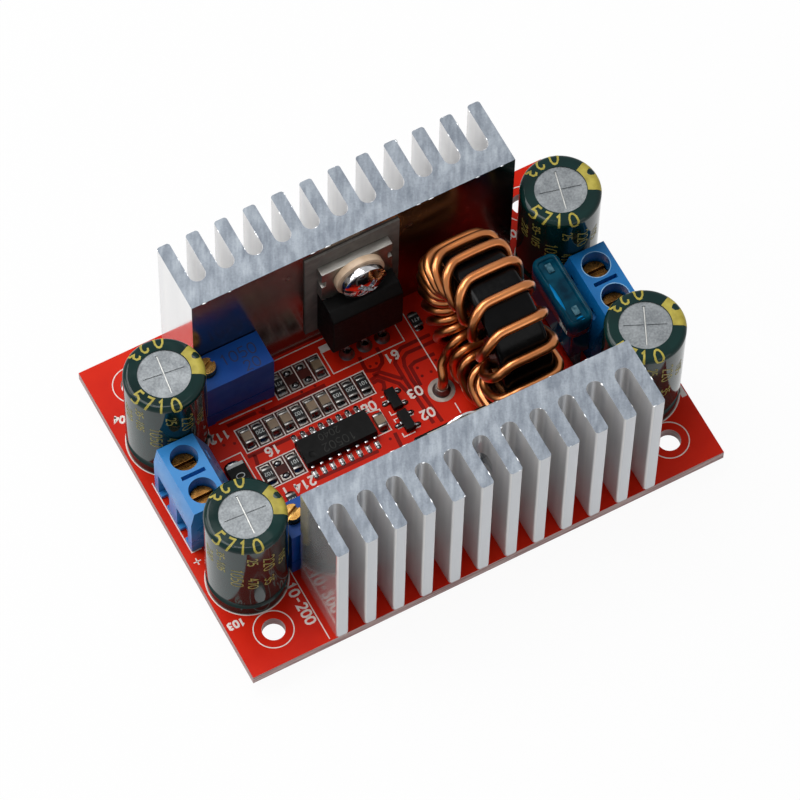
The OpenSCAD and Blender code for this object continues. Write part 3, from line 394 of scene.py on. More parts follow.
def make_materials():
    """Every material of the scene by a short name."""
    shades = {
        "board": board_shade(),
        "mask_gap": mottled((112, 11, 4), (142, 16, 6), 260, 0.4, spec=0.1),
        "cell": mottled((56, 22, 18), (84, 30, 24), 600, 0.45, spec=0.15),
        "ink": mottled((228, 214, 208), (244, 234, 228), 1500, 0.6, spec=0.2),
        "bare_pad": mottled((128, 122, 117), (160, 154, 148), 700, 0.36, 1.0, grain=0.05),
        "solder": mottled((60, 60, 61), (128, 128, 130), 1900, 0.16, 1.0, grain=0.35, grain_scale=3000),
        "joint": mottled((108, 106, 104), (150, 147, 144), 900, 0.34, 1.0, grain=0.1),
        "tin": mottled((132, 132, 134), (184, 185, 187), 1500, 0.24, 1.0, grain=0.12, grain_scale=3500),
        # The last number is the fin walls' painted light: lighter on the rear sink than on the front one
        "rear_heatsink": heatsink_shade("rear_heatsink", -1.0, 0.2, 220),
        "front_heatsink": heatsink_shade("front_heatsink", 1.0, 0.2, 206),
        # Nicks in the sinks' edges, painted brighter as highlights
        "nicked_edge_highlight": mottled((214, 217, 220), (236, 238, 240), 900, 0.3, 1.0),
        "moulding": mottled((7, 7, 7), (14, 14, 14), 900, 0.5, grain=0.2, grain_scale=6000, spec=0.12),
        "faint_ink": mottled((34, 34, 33), (50, 50, 48), 1500, 0.6, spec=0.2),
        "tab": mottled((146, 143, 138), (176, 173, 167), 500, 0.42, 1.0, grain=0.1),
        "pad": mottled((96, 92, 88), (114, 109, 104), 700, 0.75, grain=0.15),
        "bushing": mottled((206, 176, 146), (232, 206, 178), 600, 0.45, grain=0.05),
        "chrome": mottled((196, 196, 198), (224, 224, 227), 800, 0.07, 1.0),
        "can": can_shade(),
        # Painted highlight laid in one scored groove of each can
        "scored_line_highlight": mottled((178, 178, 174), (200, 199, 194), 900, 0.4, 1.0),
        "sleeve": mottled((3, 32, 31), (6, 45, 42), 200, 0.07, spec=0.24),
        "gold": mottled((158, 144, 58), (188, 174, 78), 900, 0.4, spec=0.25),
        # Painted shade: the same gold print, darker on the capacitors' upright sides
        "shaded_side_gold": mottled((118, 110, 52), (152, 142, 70), 900, 0.4, spec=0.25),
        "bung": mottled((18, 18, 18), (34, 34, 34), 900, 0.8, grain=0.2),
        # Painted light: one blue plastic, lighter on the output terminal, which stands in more light
        "output_terminal": mottled((44, 126, 194), (58, 140, 208), 200, 0.3, grain=0.03, spec=0.3),
        "input_terminal": mottled((12, 102, 168), (22, 118, 186), 200, 0.3, grain=0.03, spec=0.3),
        # Painted highlight on the rims of the input terminal's wells
        "well_rim_highlight": mottled((120, 168, 206), (150, 190, 220), 900, 0.4),
        # Painted shade: brass darkened for the screws deep in the terminals' wells
        "brass": mottled((84, 54, 24), (136, 96, 48), 900, 0.24, 1.0, grain=0.15),
        "cage": mottled((150, 146, 132), (196, 190, 172), 800, 0.35, 1.0, grain=0.1),
        "trimmer": mottled((4, 62, 140), (10, 74, 156), 240, 0.36, grain=0.04, spec=0.2),
        "trimmer_mark": mottled((4, 22, 66), (8, 30, 80), 900, 0.5),
        # Painted light: the same brass, lighter on the trimmers' exposed screws
        "lit_adjuster_brass": mottled((140, 100, 48), (188, 146, 82), 900, 0.24, 1.0, grain=0.1),
        "fuse": fuse_shade(),
        "fuse_glint": mottled((0, 112, 176), (6, 142, 206), 700, 0.5, spec=0.08),
        "test_point": mottled((34, 74, 90), (92, 132, 146), 1900, 0.6, grain=0.2, spec=0.1),
        "core": mottled((3, 3, 4), (8, 8, 9), 700, 0.2, grain=0.08, grain_scale=2200, spec=0.1),
        "wire": wire_shade(),
        "resistor": mottled((10, 10, 11), (20, 20, 21), 900, 0.4, spec=0.25),
        "capacitor_chip": mottled((118, 98, 74), (140, 116, 90), 900, 0.4),
        "chip_end": mottled((92, 91, 90), (138, 136, 133), 1500, 0.3, 1.0, grain=0.15),
        "chip_ink": mottled((168, 172, 170), (200, 204, 202), 1500, 0.6),
    }
    for key, shade in shades.items():
        shade.material.name = key + "_finish"
    return {key: shade.material for key, shade in shades.items()}


make_camera()
PAINT = make_materials()


# Pieces of the scene

# Edges that bend more than this are sharp, and faces that bend less than the other are one face
SHARP_DEG = 32
SHAPE_SHARP_DEG = 40
FLAT_DEG = 0.5
EVEN_WEIGHT = 100


def shade_by_angle(bm, limit_deg):
    """Smooth shading, broken along the edges that bend more than the limit."""
    limit = math.radians(limit_deg)
    for f in bm.faces:
        f.smooth = True
    for e in bm.edges:
        e.smooth = len(e.link_faces) == 2 and e.calc_face_angle(math.pi) < limit


def make_piece(name, bm, paint, body, limit_deg=SHARP_DEG):
    """Turns a bmesh into a piece that rides on a body and wears one of the materials."""
    shade_by_angle(bm, limit_deg)
    mesh = bpy.data.meshes.new(name)
    bm.to_mesh(mesh)
    bm.free()
    mesh.materials.append(PAINT[paint])
    piece = bpy.data.objects.new(name, mesh)
    scene.collection.objects.link(piece)
    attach(piece, body)
    return piece


def dress(node, paint, bevel_mm):
    """A copy of a CAD solid with softened edges, which stands for it in the picture."""
    source = frame["nodes"][node]
    bm = welded(node)
    bmesh.ops.dissolve_limit(bm, angle_limit=math.radians(FLAT_DEG), verts=bm.verts, edges=bm.edges)
    if bevel_mm:
        edges = [e for e in bm.edges
                 if len(e.link_faces) == 2 and e.calc_face_angle(0) > math.radians(SHARP_DEG)]
        bmesh.ops.bevel(bm, geom=edges, offset=bevel_mm * MM, segments=2, profile=0.5,
                        affect="EDGES", clamp_overlap=True)
    piece = make_piece(node + "_finish", bm, paint, source["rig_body"])
    for name in [a.name for a in piece.data.attributes if a.name == "custom_normal"]:
        piece.data.attributes.remove(piece.data.attributes[name])
    even = piece.modifiers.new("even_shading", "WEIGHTED_NORMAL")
    even.keep_sharp = True
    even.weight = EVEN_WEIGHT
    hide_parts(node)


CAPACITORS = [f"{end}_{row}_capacitor" for end in ("output", "input") for row in ("front", "rear")]
POLES = [(end + "_terminal", pole) for end in ("output", "input") for pole in "ab"]
# Looks of the CAD nodes: paint, width of the softened edges and nodes
LOOKS = [
    ("board", 0.0, ["circuit_board"]),
    ("rear_heatsink", 0.12, ["rear_heatsink"]),
    ("front_heatsink", 0.12, ["front_heatsink"]),
    ("moulding", 0.2, ["mosfet_case", "rectifier_case"]),
    ("moulding", 0.08, ["diode_body"]),
    ("moulding", 0.06, ["transistor_bodies"]),
    ("moulding", 0.05, ["controller_ic_body"]),
    ("tab", 0.1, ["mosfet_tab", "rectifier_tab"]),
    ("pad", 0.0, ["mosfet_insulator", "rectifier_insulator"]),
    ("bushing", 0.12, ["mosfet_bushing"]),
    ("chrome", 0.1, ["mosfet_screw", "rectifier_screw"]),
    ("tin", 0.05, ["mosfet_leads", "rectifier_leads", "output_terminal_pins", "input_terminal_pins"]),
    ("tin", 0.03, ["controller_ic_leads", "diode_tabs"]),
    ("tin", 0.02, ["transistor_leads"]),
    ("tin", 0.0, ["capacitor_leads", "voltage_trimmer_pins", "current_trimmer_pins"]),
    ("can", 0.0, [capacitor + "_can" for capacitor in CAPACITORS]),
    ("sleeve", 0.0, [capacitor + "_sleeve" for capacitor in CAPACITORS]),
    ("bung", 0.0, ["capacitor_bungs"]),
    ("output_terminal", 0.12, ["output_terminal_housing"]),
    ("input_terminal", 0.12, ["input_terminal_housing"]),
    ("brass", 0.08, [f"{terminal}_screw_{pole}" for terminal, pole in POLES]),
    ("cage", 0.08, [f"{terminal}_cage_{pole}" for terminal, pole in POLES]),
    ("test_point", 0.05, ["fuse_element"]),
    ("core", 0.0, ["inductor_core"]),
    ("trimmer", 0.15, ["voltage_trimmer_housing", "current_trimmer_housing"]),
    ("lit_adjuster_brass", 0.08, ["voltage_trimmer_screw", "current_trimmer_screw"]),
    ("resistor", 0.03, ["chip_resistors"]),
    ("capacitor_chip", 0.05, ["chip_capacitors"]),
    ("chip_end", 0.06, ["chip_terminations"]),
    ("joint", 0.0, ["solder_joints"]),
]
for paint, bevel, nodes in LOOKS:
    for node in nodes:
        dress(node, paint, bevel)


# Shapes that are laid over the solids

# Strokes of the digits, in a box 0.6 wide and 1 high
DIGITS = {
    "0": [(0, .3), (0, .7), (.12, .94), (.3, 1), (.48, .94), (.6, .7), (.6, .3), (.48, .06), (.3, 0),
          (.12, .06), (0, .3)],
    "1": [(.12, .8), (.34, 1), (.34, 0)],
    "2": [(.02, .76), (.1, .94), (.3, 1), (.5, .94), (.57, .72), (.46, .48), (.02, 0), (.6, 0)],
    "3": [(.04, .9), (.3, 1), (.53, .88), (.53, .66), (.3, .54), (.57, .4), (.57, .14), (.3, 0),
          (.02, .1)],
    "4": [(.46, 0), (.46, 1), (0, .3), (.62, .3)],
    "5": [(.55, 1), (.08, 1), (.05, .56), (.3, .62), (.55, .5), (.58, .2), (.36, .01), (.02, .08)],
    "6": [(.52, .94), (.3, 1), (.08, .8), (0, .35), (.12, .06), (.32, 0), (.56, .14), (.58, .4),
          (.36, .58), (.05, .42)],
    "7": [(0, 1), (.6, 1), (.22, 0)],
    "8": [(.3, .54), (.07, .68), (.08, .92), (.3, 1), (.52, .92), (.53, .68), (.3, .54), (.02, .34),
          (.06, .07), (.3, 0), (.54, .07), (.58, .34), (.3, .54)],
    "-": [(.08, .48), (.52, .48)],
}

# Step from digit to digit and half of a digit's width, as shares of its height
DIGIT_STEP = 0.85
DIGIT_HALF = 0.3
STROKE_STEP = 0.3
# Sharp corners of a line reach out no further than this allows
MITRE_LEAST = 0.5
# How far a dome's last ring stays short of its crown, in steps
DOME_CROWN = 0.4
# Form of a solder fillet: its edges, the fullness of its outline, its hollow and its foot
FILLET_EDGE = 0.94
FILLET_SWELL = 0.6
FILLET_HOLLOW = 1.8
FILLET_FOOT = 0.02


def short_steps(route, step):
    """The same route with points added, so that a stroke can follow a curved face."""
    points = [route[0]]
    for a, b in zip(route, route[1:]):
        count = max(1, math.ceil((b - a).length / step))
        points += [a.lerp(b, (k + 1) / count) for k in range(count)]
    return points


def ellipse(x, y, rx, ry, sides):
    spots = [2 * math.pi * k / sides for k in range(sides)]
    return [(x + rx * math.cos(a), y + ry * math.sin(a)) for a in spots]


class Shapes:
    """Small shapes in millimetres, gathered into one piece of the scene."""

    def __init__(self, place=at):
        self.bm = bmesh.new()
        self.place = place

    def loft(self, rings, closed=False):
        """A skin through rings of equally many points, with its ends shut unless it is closed on itself."""
        rows = [[self.bm.verts.new(self.place(*p)) for p in ring] for ring in rings]
        pairs = list(zip(rows, rows[1:]))
        if closed:
            pairs.append((rows[-1], rows[0]))
        else:
            self.bm.faces.new(rows[0])
            self.bm.faces.new(rows[-1][::-1])
        count = len(rows[0])
        for a, b in pairs:
            for k in range(count):
                self.bm.faces.new((a[k], b[k], b[(k + 1) % count], a[(k + 1) % count]))

    def plate(self, outline, z0, z1):
        self.loft([[(x, y, z) for x, y in outline] for z in (z0, z1)])

    def oblong(self, x, y, length, width, z0, z1):
        a, b = length / 2, width / 2
        self.plate([(x - a, y - b), (x + a, y - b), (x + a, y + b), (x - a, y + b)], z0, z1)

    def line(self, points, width, z0, z1, closed=False):
        """A flat line of even width along a route, with mitred corners."""
        points = [Vector(p) for p in points]
        count = len(points)
        rings = []
        for i, p in enumerate(points):
            before = (p - points[i - 1]).normalized() if i or closed else None
            after = (points[(i + 1) % count] - p).normalized() if i < count - 1 or closed else before
            before = after if before is None else before
            across = Vector((-before.y - after.y, before.x + after.x)).normalized()
            reach = width / 2 / max(across.dot(Vector((-after.y, after.x))), MITRE_LEAST)
            a, b = p + across * reach, p - across * reach
            rings.append([(a.x, a.y, z0), (b.x, b.y, z0), (b.x, b.y, z1), (a.x, a.y, z1)])
        self.loft(rings, closed)

    def ring(self, x, y, r, width, z0, z1, sides=56):
        self.line(ellipse(x, y, r, r, sides), width, z0, z1, closed=True)

    def number(self, text, x, y, height, turn, width, z0, z1):
        """Digits set round a middle point and turned by an angle in degrees."""
        c, s = math.cos(math.radians(turn)), math.sin(math.radians(turn))
        advance = DIGIT_STEP * height
        start = -(len(text) - 1) * advance / 2 - DIGIT_HALF * height
        for k, digit in enumerate(text):
            stroke = [(start + k * advance + u * height, (v - 0.5) * height) for u, v in DIGITS[digit]]
            route = [Vector((x + c * p - s * q, y + s * p + c * q)) for p, q in stroke]
            self.line(short_steps(route, STROKE_STEP), width, z0, z1)

    def dome(self, x, y, rx, ry, z0, h, sides=14, steps=5):
        """A low rounded blob that stands on a flat face."""
        rings = []
        for k in range(steps):
            tilt = math.pi / 2 * k / (steps - DOME_CROWN)
            rim = ellipse(x, y, rx * math.cos(tilt), ry * math.cos(tilt), sides)
            rings.append([(px, py, z0 + h * math.sin(tilt)) for px, py in rim])
        self.loft(rings)

    def fillet(self, x, y, width, reach, h, side, columns=8, steps=6):
        """Solder that climbs an upright end face at y and runs out along Y to the given side."""
        rings = []
        for c in range(columns + 1):
            u = 2 * c / columns - 1
            swell = math.sqrt(max(1 - (u * FILLET_EDGE) ** 2, 0)) ** FILLET_SWELL
            px, tip = x + u * width / 2, side * reach * swell
            ring = [(px, y + tip * t, h * swell * (1 - t) ** FILLET_HOLLOW + FILLET_FOOT)
                    for t in (k / steps for k in range(steps + 1))]
            rings.append(ring + [(px, y + tip, -FILLET_FOOT), (px, y, -FILLET_FOOT)])
        self.loft(rings)

    def piece(self, name, paint, node, limit_deg=SHAPE_SHARP_DEG):
        bmesh.ops.recalc_face_normals(self.bm, faces=self.bm.faces)
        return make_piece(name, self.bm, paint, "module", limit_deg)


# Winding

WIRE_D = 1.3
WIRE_R = WIRE_D / 2
WIRE_GAP = 0.06
CORE_ID = 12.1
TURNS = 18
TURN_START = -64.0
TURN_SPAN = 327.0
TURN_BUNCH = 28.04
TAIL_TURN = 15.0
BEND_R = 1.5
LOOP_R = 2.1
LOOP_OFF = 0.6
RIM_BOW = 0.1
PAD_REACH = 3.3
BEND_STEPS = 8
WIRE_STEP = 0.3
WIRE_SIDES = 16
EASE_ROUNDS = 8
# How far a turn has gone on to the next one where it meets the loop and where it dips into the core
LOOP_LEAN = 0.5
LOOP_CROSS = 0.85
# Angles by which the leads run ahead of the first turn and behind the last one
LEAD_AHEAD = (15.0, 9.0)
TAIL_BEHIND = (1.0, 3.0)
TAIL_CORNER = 0.3


def even_path(points, gap):
    """Points at even steps along a path, eased so that no corner stays sharp."""
    path = [points[0]]
    left = gap
    for start, end in zip(points, points[1:]):
        length = (end - start).length
        while left <= length:
            path.append(start.lerp(end, left / length))
            left += gap
        left -= length
    path.append(points[-1])
    for _ in range(EASE_ROUNDS):
        inner = [(path[i - 1] + path[i] * 2 + path[i + 1]) / 4 for i in range(1, len(path) - 1)]
        path = [path[0]] + inner + [path[-1]]
    return path


def winding_points():
    """The wire's route round the core, from the left pad to the right one, from the core's middle."""
    lo, hi = box("inductor_core")
    size = hi - lo
    core_z = middle("inductor_core").z
    in_r = CORE_ID / 2 - WIRE_R - WIRE_GAP
    out_r = size.y / 2 + WIRE_R + WIRE_GAP
    side_x = size.x / 2 + WIRE_R + WIRE_GAP
    loop_x = side_x + LOOP_OFF
    reach = size.x / 2 + PAD_REACH

    def turn_angle(i):
        u = i / (TURNS - 1)
        return TURN_START + TURN_SPAN * u - TURN_BUNCH * math.sin(math.pi * u)

    def spot(r, angle, x):
        return Vector((x, r * math.cos(math.radians(angle)), r * math.sin(math.radians(angle))))

    def bend(r, x, radius, start, a0, a1):
        points = []
        for k in range(BEND_STEPS + 1):
            t = k / BEND_STEPS
            g = math.radians(start - 90 * t)
            points.append(spot(r + radius * math.cos(g), a0 + (a1 - a0) * t, x + radius * math.sin(g)))
        return points

    def turn(i):
        a = turn_angle(i)
        step = turn_angle(i + 1) - a if i < TURNS - 1 else TAIL_TURN
        return (bend(in_r + BEND_R, side_x - BEND_R, BEND_R, 180, a, a)
                + bend(out_r - BEND_R, side_x - BEND_R, BEND_R, 90, a, a)
                + [spot(out_r + RIM_BOW, a, 0)]
                + bend(out_r - LOOP_R, -loop_x + LOOP_R, LOOP_R, 0, a, a + step * LOOP_LEAN)
                + bend(in_r + LOOP_R, -loop_x + LOOP_R, LOOP_R, -90, a + step * LOOP_CROSS, a + step))

    def lead(side):
        return [Vector((side * reach, 0, -core_z - BOARD_TOP / MM + WIRE_GAP)),
                Vector((side * reach, 0, -core_z + WIRE_D)),
                Vector((side * (reach - WIRE_R / 2), 0, -core_z + 2 * WIRE_D))]

    tail = turn_angle(TURNS - 1) + TAIL_TURN
    first = TURN_START - LEAD_AHEAD[0]
    points = lead(-1) + [spot(in_r + LOOP_R + WIRE_D, first, -loop_x - WIRE_D)]
    points += bend(in_r + LOOP_R, -loop_x + LOOP_R, LOOP_R, -90, TURN_START - LEAD_AHEAD[1], TURN_START)
    for i in range(TURNS):
        points += turn(i)
    points += [spot(in_r, tail, side_x - BEND_R),
               spot(in_r + TAIL_CORNER, tail - TAIL_BEHIND[0], side_x - TAIL_CORNER),
               spot(in_r + BEND_R, tail - TAIL_BEHIND[1], side_x + WIRE_R)]
    return points + lead(1)[::-1]


def make_winding():
    """A round wire along the whole route, in place of the CAD winding."""
    centre = middle("inductor_core")
    path = even_path([centre + p for p in winding_points()], WIRE_STEP)
    wire = Shapes()
    rim = ellipse(0, 0, WIRE_R, WIRE_R, WIRE_SIDES)
    side = Vector((0, 1, 0))
    rings = []
    for i, p in enumerate(path):
        ahead = (path[min(i + 1, len(path) - 1)] - path[max(i - 1, 0)]).normalized()
        side = (side - ahead * side.dot(ahead)).normalized()
        other = ahead.cross(side)
        rings.append([p + side * u + other * v for u, v in rim])
    wire.loft(rings)
    piece = wire.piece("inductor_wire", "wire", "inductor_winding", limit_deg=60)
    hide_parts("inductor_winding")


make_winding()


# Fuse: a tinted moulding with a narrower waist and a raised rim round its top

FUSE_WAIST_T = 3.0
FUSE_STEP = 0.6
FUSE_CORNER = 1.2
WAIST_CORNER = 0.5
BLADE_PITCH = 6.8
# Rings of the moulding from the head's foot to the recess: inset and height below the top
FUSE_RIM = [(0.15, 3.4), (0.0, 3.2), (0.0, 0.6), (0.08, 0.3), (0.25, 0.08), (0.45, 0.0),
            (0.62, 0.06), (0.74, 0.2), (0.8, 0.38)]
FUSE_FOOT = 0.15
FUSE_NECK = 0.02
FUSE_CORNER_LEAST = 0.3
# Rings of a test point: length, width and height above the recess
POINT_RINGS = [(0.8, 1.1, -0.02), (0.8, 1.1, 0.05), (0.6, 0.9, 0.1)]
POINT_CORNER = 0.2
# Light caught in the moulding's edges: place from the fuse's middle, reach along X and Y
FUSE_GLINTS = [(-1.25, -0.7, 0.34, 2.4), (0.0, -4.55, 0.5, 0.16), (0.2, -5.0, 0.36, 0.1)]
FUSE_GLINT_SINK = 0.25
FUSE_GLINT_RISE = 0.04


def rounded(mid, length, width, corner, z, steps=6):
    """A ring of points round a rectangle with round corners."""
    points = []
    for turn, (sx, sy) in enumerate(((1, 1), (-1, 1), (-1, -1), (1, -1))):
        for k in range(steps + 1):
            a = math.pi / 2 * (turn + k / steps)
            points.append((mid.x + sx * (length / 2 - corner) + corner * math.cos(a),
                           mid.y + sy * (width / 2 - corner) + corner * math.sin(a), z))
    return points


def make_fuse():
    """The moulding in place of the CAD body, its test points and the light in its edges."""
    lo, hi = box("fuse_body")
    mid = (lo + hi) / 2
    size = hi - lo
    waist_w = size.y - FUSE_STEP
    waist = [(FUSE_FOOT, lo.z), (0, lo.z + FUSE_FOOT), (0, hi.z - FUSE_RIM[0][1] - FUSE_NECK)]
    rings = [rounded(mid, FUSE_WAIST_T - 2 * inset, waist_w - 2 * inset, WAIST_CORNER, z)
             for inset, z in waist]
    for inset, drop in FUSE_RIM:
        corner = max(FUSE_CORNER - inset, FUSE_CORNER_LEAST)
        rings.append(rounded(mid, size.x - 2 * inset, size.y - 2 * inset, corner, hi.z - drop))
    body = Shapes()
    body.loft(rings)
    piece = body.piece("fuse_moulding", "fuse", "fuse_body")
    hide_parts("fuse_body")
    floor_z = hi.z - FUSE_RIM[-1][1]
    points = Shapes()
    for side in (-1, 1):
        spot = mid + Vector((0, side * BLADE_PITCH / 2, 0))
        points.loft([rounded(spot, length, width, POINT_CORNER, floor_z + z)
                     for length, width, z in POINT_RINGS])
    points.piece("fuse_test_points", "test_point", "fuse_element")
    glints = Shapes()
    for x, y, rx, ry in FUSE_GLINTS:
        glints.dome(mid.x + x, mid.y + y, rx, ry, hi.z - FUSE_GLINT_SINK,
                    FUSE_GLINT_SINK + FUSE_GLINT_RISE, sides=20, steps=6)
    glints.piece("fuse_glints", "fuse_glint", "fuse_body")


make_fuse()


# Board: grooves between the copper areas, print, pads and solder

# Heights of each layer, from just below the board's face to its own top
GAP_Z = (-0.02, 0.012)
VIA_Z = (-0.02, 0.016)
CELL_Z = (-0.02, 0.02)
INK_Z = (-0.02, 0.03)
PAD_Z = (-0.02, 0.035)
GAP_W = 0.5
# A via's reach along X and Y and its number of sides
VIA = (0.2, 0.2, 20)
INK_W = 0.14
DIGIT_W = 0.27
SMD_PITCH = 1.84
ROW_HALF = 1.8
ROW_REACH = 0.12

# Routes of the grooves that part the copper areas under the mask
GAP_ROUTES = [
    [(1.7, 9.6), (1.6, 8.0), (1.3, 7.3), (0.5, 6.8), (-0.3, 6.9), (-1.0, 7.2), (-1.0, 8.1), (-0.9, 9.4)],
    [(-0.6, 6.3), (0.4, 6.3), (2.5, 4.1)],
    [(-1.2, 5.8), (-0.2, 6.0), (1.8, 3.7), (2.2, 2.0)],
    [(8.6, 8.1), (4.4, 8.1), (3.4, 7.5), (2.7, 6.5), (2.7, 3.8), (3.0, -3.3)],
    [(9.7, 7.0), (4.7, 7.1), (4.0, 6.7), (3.6, 5.6), (3.5, 3.4), (4.1, -3.6)],
    [(7.8, 5.4), (5.0, 5.5), (4.2, 5.2), (4.1, 2.2)],
    [(-1.2, 5.3), (-0.4, 5.4), (0.1, 4.8), (-0.1, 4.1), (-0.5, 3.7)],
    [(-15.1, 8.7), (-15.3, 8.1), (-14.7, 7.9), (-6.6, 7.9)],
    [(-20.3, 8.5), (-16.2, 8.5)],
    [(-19.1, 3.3), (-19.4, 1.8)],
    [(-20.0, 3.4), (-14.0, 3.3), (-13.4, 2.8), (-4.6, 2.9)],
    [(-14.0, -2.2), (-13.6, -3.4), (-5.0, -3.5)],
    [(-2.0, -2.2), (-2.2, -4.8), (-4.2, -5.6)],
]
VIAS = [(-0.3, 7.6), (0.6, 7.6), (4.9, 4.6), (4.9, 3.3), (6.2, 3.3), (7.5, 3.3), (7.5, 4.5), (-2.4, 3.5),
        (-2.9, -2.7), (-20.6, 5.9), (-21.9, 6.3), (-9.7, 8.4), (-7.8, 8.4), (-15.7, 8.3)]

# Rows of small chips: the line that they stand on and the number of places, some of which stay empty
ROWS = [(5.67, 10), (10.6, 4), (-0.15, 3)]

# Routes of the printed lines
INK_ROUTES = [
    [(-4.1, 1.95), (-2.15, 1.65), (-2.15, -1.65), (-4.15, -1.65)],
    [(-4.9, 12.4), (-4.9, 8.8), (5.3, 8.8), (5.3, 11.4)],
    [(6.95, 12.4), (6.95, 1.9)],
    [(6.75, -2.0), (6.75, -3.6)],
    [(-21.1, 9.2), (-13.6, 9.05)],
    [(-12.6, 13.95), (-3.4, 13.95)],
    [(-23.4, 4.4), (-20.5, 4.4), (-20.5, -1.2)],
    [(-32.35, 5.75), (-32.35, -5.2), (-31.0, -5.2)],
    [(-22.65, -12.4), (-22.65, -23.7)],
    [(-1.2, 3.0), (-0.8, 3.0)],
    [(-1.2, 0.8), (-1.2, 0.15), (-0.5, 0.15)],
    [(-0.7, -0.55), (-1.2, -0.55), (-1.2, -1.0)],
    [(-1.2, -2.7), (-1.2, -3.3), (0.4, -3.3)],
    [(-32.8, -6.6), (-31.8, -6.6)],
    [(-32.3, -7.1), (-32.3, -6.1)],
]
# Printed numbers: text, place, height and turn
INK_NUMBERS = [
    ("61", 2.8, 7.6, 1.2, 180), ("03", 3.0, 1.65, 1.2, 180), ("02", 2.95, -1.75, 1.2, 180),
    ("08", -3.2, 2.5, 1.2, 180), ("16", -16.8, 2.8, 1.2, 180), ("214", -15.4, -3.3, 1.2, 180),
    ("11", -18.5, -3.1, 1.2, 180), ("112", -21.9, 7.6, 1.1, 180), ("104", -31.6, 15.5, 0.9, 150),
    ("103", -32.0, -16.5, 0.9, 180), ("10-200", -23.6, -17.7, 1.25, -90), ("02", 24.6, 16.0, 1.0, 180),
]
# Printed fields: middle, length and width
INK_FIELDS = [(-4.1, 12.6, 1.6, 1.0), (-22.9, 7.9, 0.35, 1.3), (33.0, -14.0, 0.7, 1.6)]
MOUNT_X = 28.2
MOUNT_Y = 19.3
MOUNT_RING_R = 2.55
CAP_RING_GAP = 0.07
WIRE_PAD_R = 1.75
# Pads: from a chip's middle, along and across it, and what shows round a lead
CHIP_PAD_OFF = 1.1
CHIP_PAD = (1.2, 0.9)
LEAD_PAD_OUT = 0.25
LEAD_PAD_MORE = 0.25
# Solder on a chip's end: from its middle, its width, its reach and its share of the chip's height
CHIP_END_OFF = 0.98
CHIP_END_W = 1.15
CHIP_END_REACH = 0.5
CHIP_END_CLIMB = 0.8
# A blob of solder on an empty place: reach along X and Y, foot and height, then its place and its room
EMPTY_BLOB = (0.55, 0.42, 0.02, 0.3)
EMPTY_OFF = (-0.1, 1.0)
EMPTY_R = 0.5
# Blobs on leads: leads, their part, axis along which they point out, how far past their tips, and the blob
LEAD_BLOBS = [
    ("controller_ic_leads", "controller_ic_body", 1, 0.05, (0.33, 0.42, 0.0, 0.14)),
    ("transistor_leads", "transistor_bodies", 0, -0.1, (0.5, 0.36, 0.0, 0.3)),
    ("diode_tabs", "diode_body", 1, -0.2, (1.2, 0.8, 0.0, 0.4)),
]


def chip_boxes():
    return solids("chip_resistors") + solids("chip_capacitors")


def row_places():
    """Every place of the rows of chips, with or without a chip on it."""
    places = []
    mids = [(lo + hi) / 2 for lo, hi in chip_boxes()]
    for y, count in ROWS:
        first = min(mid.x for mid in mids if abs(mid.y - y) < ROW_REACH)
        places.append([(first + k * SMD_PITCH, y) for k in range(count)])
    return places


def outer_end(lo, hi, part, axis):
    """The side of a part that one of its leads points to, and where the lead's tip lies on that axis."""
    side = 1 if (lo[axis] + hi[axis]) / 2 > middle(part)[axis] else -1
    return side, hi[axis] if side > 0 else lo[axis]


def make_gaps():
    """Grooves between the copper areas, vias, and the darker cells that the chips stand in."""
    shapes = Shapes()
    for route in GAP_ROUTES:
        shapes.line(route, GAP_W, *GAP_Z)
    for x, y in VIAS:
        shapes.plate(ellipse(x, y, *VIA), *VIA_Z)
    shapes.piece("board_grooves", "mask_gap", "circuit_board")
    cells = Shapes()
    for row in row_places():
        for x, y in row:
            cells.oblong(x, y, SMD_PITCH - INK_W, 2 * ROW_HALF - INK_W, *CELL_Z)
    cells.piece("board_cells", "cell", "circuit_board")


def make_print():
    """White lines, frames, rings and numbers."""
    shapes = Shapes()
    for route in INK_ROUTES:
        shapes.line(route, INK_W, *INK_Z)
    for row in row_places():
        edges = [x - SMD_PITCH / 2 for x, _ in row]
        x0, x1 = edges[0], edges[-1] + SMD_PITCH
        y0, y1 = row[0][1] - ROW_HALF, row[0][1] + ROW_HALF
        shapes.line([(x0, y0), (x1, y0), (x1, y1), (x0, y1)], INK_W, *INK_Z, closed=True)
        for x in edges[1:]:
            shapes.line([(x, y0), (x, y1)], INK_W, *INK_Z)
    for text, x, y, height, turn in INK_NUMBERS:
        shapes.number(text, x, y, height, turn, DIGIT_W, *INK_Z)
    for x, y, length, width in INK_FIELDS:
        shapes.oblong(x, y, length, width, *INK_Z)
    for x in (-MOUNT_X, MOUNT_X):
        for y in (-MOUNT_Y, MOUNT_Y):
            shapes.ring(x, y, MOUNT_RING_R, INK_W, *INK_Z)
    for capacitor in CAPACITORS:
        lo, hi = box(capacitor + "_sleeve")
        mid = (lo + hi) / 2
        shapes.ring(mid.x, mid.y, (hi.x - lo.x) / 2 + CAP_RING_GAP, INK_W, *INK_Z)
    shapes.piece("board_print", "ink", "circuit_board")


